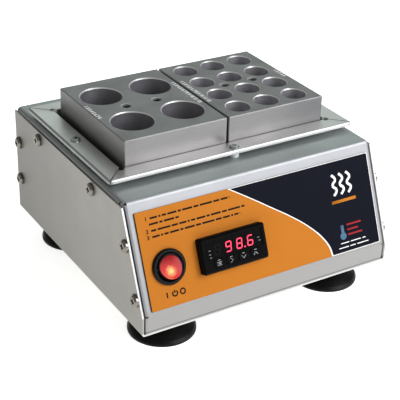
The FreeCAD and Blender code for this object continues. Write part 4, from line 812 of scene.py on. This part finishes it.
class HEATER_OT_switch(bpy.types.Operator):
    """Round rocker switch with its lit lens"""
    bl_idname = "heater.switch"
    bl_label = "Rocker switch"

    # lamp behind the lens, from the rocker's pivot along the sloped front, in millimetres
    LAMP = Vector((-0.7, -2.2, 3.4))
    # up the lens from painted shade at the top to lit, and across it to the painted light on its right side,
    # and that side's share
    LIT, PALE, PALE_SHARE = (7, -3), (1, 7), 0.75
    # round the lamp: unevenness, glow and hot spot
    UNEVEN, GLOW, HOT = 1.3, (4.6, 2.2), (2.8, 0.8)
    # ribs: turns per metre, in radians, and where they show, low on the left
    RIBS, RIBS_LOW, RIBS_LEFT = 4200.0, (-2, -6), (1, -4)
    # painted shade round the edge of the lens
    RIM = (7.1, 7.7)
    # tone of the unlit plastic
    PLASTIC = (0.2, 0.3)

    def execute(self, context):
        look = context.scene.heater_control
        dress(finish("switch_plastic", look.black, (0.3, 0.42), 2600.0, vary=0.1, bump=0.05, patch=120.0,
                     specular_ior_level=0.16), "switch_housing")
        dress(self.lens(look), "rocker")
        return {"FINISHED"}

    def lens(self, look):
        """Red moulding lit from behind: painted shade round its edge and at its top, a hot spot low down,
        ribs, and painted light on its right.
        """
        material, tree = blank("rocker_lens")
        turned = PANEL.to_3x3()
        pivot = Vector(JOINTS["rocker_tilt"]["pos_m"])
        spot = here(tree)
        from_pivot = add(tree, "VectorMath", {0: spot, 1: pivot}, operation="SUBTRACT").outputs["Vector"]
        across, up = (towards(tree, from_pivot, turned.col[axis]) for axis in (0, 1))
        lamp = pivot + turned @ self.LAMP * MM
        reach = add(tree, "VectorMath", {0: spot, 1: lamp}, operation="DISTANCE").outputs["Value"]
        ripple = effect(tree, fine_grain, 700.0)
        body = mix(tree, step(tree, up, self.LIT), look.lens_red, look.lens_lit)
        # painted light on the right of the lens
        pale = sums(tree, "MULTIPLY", step(tree, across, self.PALE), self.PALE_SHARE)
        body = mix(tree, pale, body, look.lens_pale)
        uneven = sums(tree, "ADD", reach, spread(tree, ripple, -self.UNEVEN * MM, self.UNEVEN * MM))
        body = mix(tree, step(tree, uneven, self.GLOW), body, look.lens_glow)
        body = mix(tree, step(tree, uneven, self.HOT), body, look.lens_hot)
        waves = add(tree, "Math", {0: sums(tree, "MULTIPLY", reach, self.RIBS)}, operation="SINE").outputs[0]
        ribs = sums(tree, "MULTIPLY", fade(tree, waves, 0.0, 1.0), step(tree, up, self.RIBS_LOW),
                    step(tree, across, self.RIBS_LEFT))
        body = mix(tree, ribs, body, look.lens_glow)
        # painted shade round the edge of the lens
        lens_rim_shade = step(tree, apart(tree, across, up), self.RIM)
        red = mix(tree, ripple, *(darker(look.lens_red, share) for share in self.PLASTIC))
        surface(tree, {"Base Color": mix(tree, lens_rim_shade, red, look.black), "Specular IOR Level": 0.1,
                       "Roughness": spread(tree, effect(tree, handling, 160.0), 0.2, 0.3),
                       "Emission Color": mix(tree, lens_rim_shade, body, look.black), "Emission Strength": 0.9})
        return material


class HEATER_OT_controller(bpy.types.Operator):
    """Temperature controller: window, lit digits, keys and their marks"""
    bl_idname = "heater.controller"
    bl_label = "Controller"

    # segments of a digit: a top, b and c right, d bottom, e and f left, g middle
    SEGMENTS = {"0": "abcdef", "1": "bc", "2": "abdeg", "3": "abcdg", "4": "bcfg", "5": "acdfg",
                "6": "acdefg", "7": "abc", "8": "abcdefg", "9": "abcdfg", " ": ""}
    SLANT, PLACES = 0.1, 4
    # sizes in millimetres: width of a segment, gap, radius of the point, drop of the digits, thickness
    STROKE, GAP, POINT, DIGITS_DROP, THICK = 0.8, 0.12, 0.55, 0.8, 0.06
    # indicator dashes: tone, half their length and height, and their places on the label
    DASH_TONE, DASH_LONG, DASH_HALF = 0.3, 0.8, 0.22
    DASHES = ((-44.9, 42.3), (-45.0, 44.8), (-44.8, 46.9), (-8.3, 42.4), (-7.7, 44.5))
    # key marks: half width, half height, level of their middle, stroke, flatness, and the arc over each
    MARK_WIDE, MARK_RISE, MARK_LEVEL, MARK_STROKE, MARK_FLAT = 1.6, 0.95, -0.6, 0.26, 0.15
    ARC = ((-0.9, 1.7), (0, 1.85), (0.9, 1.7))

    def execute(self, context):
        look = context.scene.heater_control
        dress(finish("controller_plastic", look.black, (0.42, 0.52), 2600.0, bump=0.12, patch=120.0,
                     specular_ior_level=0.04), "controller_bezel", "controller_housing", "controller_clip")
        dress(finish("key_plastic", look.black, (0.42, 0.52), 2600.0, vary=0.1, patch=200.0,
                     specular_ior_level=0.05), *KEYS)
        dress(finish("window_plastic", look.window, (0.05, 0.12), 300.0, vary=0.1, bump=0.0, patch=120.0,
                     specular_ior_level=0.2), "display_window")
        self.digits(look)
        self.indicators(look)
        self.key_marks(look)
        return {"FINISHED"}

    def glow(self, name, shade, strength):
        material, tree = blank(name)
        tone = mix(tree, effect(tree, fine_grain, 1500.0), darker(shade, 0.85), shade)
        surface(tree, {"Base Color": tone, "Roughness": 0.4, "Specular IOR Level": 0.04,
                       "Emission Color": tone, "Emission Strength": strength})
        return material

    def legend(self, name, shade):
        return finish(name, shade, (0.4, 0.5), 900.0, vary=0.05, bump=0.02)

    def segment(self, x, y, long, wide, upright):
        """Slanted outline of a segment round its middle, which is given without the slant's shift."""
        half, tip = long / 2, wide / 2
        inner = half - tip
        shape = ((-half, 0), (-inner, tip), (inner, tip), (half, 0), (inner, -tip), (-inner, -tip))
        places = [(x + b, y + a) if upright else (x + a, y + b) for a, b in shape]
        return corners(*((across + self.SLANT * up, up) for across, up in places))

    def digits(self, look):
        low, high = panel_box("display_window")
        middle = (low + high) / 2
        wide, tall, pitch = look.digit_wide, look.digit_high, look.digit_pitch
        stroke = self.STROKE * MM
        side, storey = (wide - stroke) / 2, (tall - stroke) / 2
        spots = {"a": (0, storey, False), "g": (0, 0, False), "d": (0, -storey, False),
                 "b": (side, storey / 2, True), "c": (side, -storey / 2, True),
                 "f": (-side, storey / 2, True), "e": (-side, -storey / 2, True)}
        shown = {True: [], False: []}
        last = (self.PLACES - 1) / 2
        for number, digit in enumerate(look.reading[:self.PLACES].rjust(self.PLACES)):
            for name, (x, y, upright) in spots.items():
                long = (storey if upright else wide - stroke) - self.GAP * MM
                outline = self.segment(x + (number - last) * pitch, y, long, stroke, upright)
                shown[name in self.SEGMENTS[digit]].append(outline)
        point = Vector((last * pitch - pitch / 2 - self.SLANT * tall / 2, -storey, 0))
        shown[True].append(bends(*ring(point, self.POINT * MM, range(0, 360, 45))))
        place = above(high.z, (middle.x, middle.y - self.DIGITS_DROP * MM))
        for lit, name, *light in ((True, "lit_segments", "digit_light", look.lit, 1.0),
                                  (False, "unlit_segments", "digit_dark", look.unlit, 0.02)):
            lay(name, field_curve(shown[lit], self.THICK * MM), place, self.glow(*light), "case")

    def indicators(self, look):
        dashes = [dash(x - self.DASH_LONG, x + self.DASH_LONG, drop, self.DASH_HALF)
                  for x, drop in self.DASHES]
        material = self.legend("legend_print", darker(look.legend, self.DASH_TONE))
        lay("indicator_dashes", field_curve(dashes, self.THICK * MM), above(panel_box("display_window")[1].z),
            material, "case")

    def key_marks(self, look):
        """Three bars, and arrows to the right, down and up."""
        material = self.legend("key_legend", look.legend)
        wide, rise, level = self.MARK_WIDE, self.MARK_RISE, self.MARK_LEVEL
        marks = {"key_set": [((-wide, bar_level), (wide, bar_level))
                             for bar_level in (level - rise, level, level + rise)],
                 "key_shift": [((-rise, level + wide), (rise, level), (-rise, level - wide))],
                 "key_lower": [((-wide, level + rise), (0, level - rise), (wide, level + rise))],
                 "key_raise": [((-wide, level - rise), (0, level + rise), (wide, level - rise))]}
        for key, lines in marks.items():
            strokes = [([(x * MM, y * MM) for x, y in line], line is self.ARC) for line in (*lines, self.ARC)]
            low, high = panel_box(key)
            lay(key + "_mark", stroke_curve(strokes, self.MARK_STROKE * MM), above(high.z, (low + high) / 2),
                material, key + "_cap", self.MARK_FLAT)


# turn of the etched numbers, which are read from back to front
READ_ACROSS = Matrix.Rotation(-math.pi / 2, 4, "Z")
# the painted parts of both blocks go by the right one, which the left one mirrors
BLOCK = "block_small_wells"
# painted shade at the right end of the front walls: where it starts from the block's left, and where it is
# full from its right, in millimetres
END_START, END_FULL = 24, 6
# inside of a block from its walls; thermometer and lifting holes: pitch, and edge of their mouths, which
# bounds the painted highlight round them and the painted shade in them
INSIDE = (0.8, 1.2)
SERVICE_PITCH, SERVICE_MOUTH = 23.2, (3.8, 3.6)
# half width of the pan's mitred seams
SEAM = (0.3, 0.15)


def mitres(tree):
    """Lines at 45 degrees from the pan's corners."""
    low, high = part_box("well_pan")
    x, y = axes(tree)[:2]
    off = sums(tree, "SUBTRACT", beyond(tree, x, low.x, high.x), beyond(tree, y, low.y, high.y))
    return step(tree, absolute(tree, off), SEAM)


def inside(tree):
    """Everything but the blocks' outer walls and edges."""
    low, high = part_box(BLOCK)
    x, y = axes(tree)[:2]
    return step(tree, sums(tree, "MINIMUM", beyond(tree, absolute(tree, x), low.x, high.x),
                           beyond(tree, y, low.y, high.y)), INSIDE)


def service_holes(tree):
    """Upright columns round the thermometer and lifting holes."""
    low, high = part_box(BLOCK)
    middle = (low + high) / 2
    x, y = axes(tree)[:2]
    across = absolute(tree, sums(tree, "SUBTRACT", absolute(tree, x), middle.x))
    return step(tree, apart(tree, sums(tree, "SUBTRACT", across, SERVICE_PITCH * MM / 2),
                            sums(tree, "SUBTRACT", y, middle.y)), SERVICE_MOUTH)


# painted shade towards the right end of the front walls
def right_end(tree):
    low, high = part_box(BLOCK)
    return fade(tree, axes(tree)[0], low.x + END_START * MM, high.x - END_FULL * MM)


# painted parts of the pan: seams, and painted shade on the lips at its left and right with the others'
# rounded ends
SEAMS = both(mitres, zone("well_pan", ("top", -4, -3)))
SHADED_PAN_RIMS = either(inward("well_pan", 1.6, 1.0),
              both(inward("well_pan", 3.4, 1.8), zone("well_pan", ("top", -0.3, -0.8), ends=(0.0, 0.75))))
# painted parts of the blocks: painted light on the fronts with painted shade at their right end, painted
# light on the walls of the wells, painted highlights on the bevels of the wells and the mouths of the small
# holes, and painted shade on the walls of the small holes
# painted light on the front walls of the blocks
LIT_FRONTS = zone(BLOCK, ("front", 0.3, 0.1))
FRONT_END_SHADE = both(LIT_FRONTS, right_end)
# painted light on the bored walls of the wells
LIT_BORES = both(inside, zone(BLOCK, ("top", -0.9, -1.3)))
BELOW_TOP = zone(BLOCK, ("top", -0.02, -0.06))
# painted highlight on the bevelled mouths of the wells
MOUTH_HIGHLIGHTS = both(inside, zone(BLOCK, ("top", -0.85, -0.7)), BELOW_TOP)
# painted highlight on the mouths of the small holes, reaching the top face on their back half
SERVICE_MOUTH_HIGHLIGHTS = both(service_holes, zone(BLOCK, ("top", -1.8, -1.2)),
                      either(BELOW_TOP, zone(BLOCK, ("halfway", 0.5, 2))))
# painted shade deep in the small holes
SERVICE_BORES_SHADE = both(service_holes, zone(BLOCK, ("top", -1.4, -2.0)))


class HEATER_OT_wells(bpy.types.Operator):
    """Well pan on its spacers, and the two machined blocks"""
    bl_idname = "heater.wells"
    bl_label = "Pan and blocks"

    # etched numbers: block, side, last one, across and along; thickness and weight, in millimetres
    NUMBERS = (("large", "left", 8, -74.9, 11.2), ("large", "right", 12, -3.3, 11.8),
               ("small", "left", 12, 3.2, 10.2), ("small", "right", 5, 74.0, 10.6))
    ETCH_THICK, ETCH_BOLD = 0.03, 0.17

    def execute(self, context):
        look = context.scene.heater_case
        dress(finish("pan_sheet", look.pan, (0.4, 0.5), 1500.0, (0.03, 1.0, 1.0), vary=0.05, bump=0.06,
                     masks=((SHADED_PAN_RIMS, look.pan_rim), (SEAMS, look.seam)), metallic=1.0),
              "well_pan", "heater_clamp_plate", "sensor_clip")
        dress(finish("spacer_nylon", look.spacer, (0.4, 0.5), 900.0, vary=0.04, bump=0.05, patch=200.0,
                     subsurface_weight=0.15), *SPACERS)
        for block, bore in (("large_wells", look.bore), ("small_wells", look.bore_small)):
            masks = ((LIT_FRONTS, look.block_front), (FRONT_END_SHADE, look.block_end), (LIT_BORES, bore),
                     (MOUTH_HIGHLIGHTS, look.edge), (SERVICE_MOUTH_HIGHLIGHTS, look.edge), (SERVICE_BORES_SHADE, look.seam))
            dress(finish("machined_" + block, look.block, (0.38, 0.5), 2200.0, (0.05, 1.0, 1.0), vary=0.1,
                         masks=masks, metallic=0.85), "block_" + block)
        etched = finish("etched_number", look.etch, (0.5, 0.62), 1600.0, vary=0.1, patch=300.0,
                        specular_ior_level=0.2)
        thick = self.ETCH_THICK * MM
        for size, side, last, across, along in self.NUMBERS:
            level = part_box(f"block_{size}_wells")[1].z + thick / 2
            place = Matrix.Translation((across * MM, along * MM, level)) @ READ_ACROSS
            figures = " ".join(str(number) for number in range(1, last + 1))
            curve = text_curve(figures, look.etch_high, thick, self.ETCH_BOLD * MM)
            lay(f"etched_{size}_{side}", curve, place, etched, size + "_block")
        return {"FINISHED"}


class HEATER_OT_mains(bpy.types.Operator):
    """Mains inlet with its blades and fuse drawer"""
    bl_idname = "heater.mains"
    bl_label = "Mains inlet"

    def execute(self, context):
        look = context.scene.heater_inside
        dress(finish("inlet_plastic", context.scene.heater_control.black, (0.35, 0.5), 2200.0, bump=0.15,
                     patch=120.0), "power_inlet", "fuse_drawer")
        dress(finish("blade_brass", look.brass, (0.2, 0.34), 2600.0, (1.0, 0.03, 1.0), vary=0.08, bump=0.08,
                     metallic=1.0), "switch_blades", "inlet_blades", "terminal_clamps")
        dress(finish("fuse_glass", look.glass, (0.04, 0.1), 600.0, vary=0.03, bump=0.01, patch=200.0,
                     transmission_weight=0.8), "fuse")
        return {"FINISHED"}


class HEATER_OT_inside(bpy.types.Operator):
    """Heater, insulation, relay and terminals inside the case"""
    bl_idname = "heater.inside"
    bl_label = "Inside"

    def execute(self, context):
        look = context.scene.heater_inside
        dress(finish("mat_silicone", look.mat, (0.5, 0.65), 1200.0, vary=0.1, bump=0.15), "heater_mat")
        dress(finish("insulation_fibre", look.fibre, (0.85, 0.95), 700.0, bump=0.5), "heater_insulation")
        dress(finish("relay_plastic", look.relay, (0.4, 0.52), 2200.0, bump=0.12),
              "solid_state_relay", "terminal_strip", "thermal_cutout")
        return {"FINISHED"}


OPERATORS = (HEATER_OT_stage, HEATER_OT_case, HEATER_OT_label, HEATER_OT_switch, HEATER_OT_controller,
             HEATER_OT_wells, HEATER_OT_mains, HEATER_OT_inside)


class HEATER_PT_sidebar(bpy.types.Panel):
    """Settings and builders of the heater"""
    bl_idname = "HEATER_PT_sidebar"
    bl_label = "Dry block heater"
    bl_space_type = "VIEW_3D"
    bl_region_type = "UI"
    bl_category = "Heater"

    def draw(self, context):
        for name, settings in SETTINGS.items():
            column = self.layout.column(align=True)
            for field in settings.__annotations__:
                column.prop(getattr(context.scene, name), field)
        for operator in OPERATORS:
            self.layout.operator(operator.bl_idname)


CLASSES = (*SETTINGS.values(), *OPERATORS, HEATER_PT_sidebar)


def register():
    for kind in CLASSES:
        bpy.utils.register_class(kind)
    for name, settings in SETTINGS.items():
        setattr(bpy.types.Scene, name, PointerProperty(type=settings))


def unregister():
    for name in SETTINGS:
        delattr(bpy.types.Scene, name)
    for kind in reversed(CLASSES):
        bpy.utils.unregister_class(kind)


def main():
    register()
    bpy.ops.heater.stage()
    bpy.ops.heater.case()
    bpy.ops.heater.label()
    bpy.ops.heater.switch()
    bpy.ops.heater.controller()
    bpy.ops.heater.wells()
    bpy.ops.heater.mains()
    bpy.ops.heater.inside()


if __name__ == "__main__":
    main()
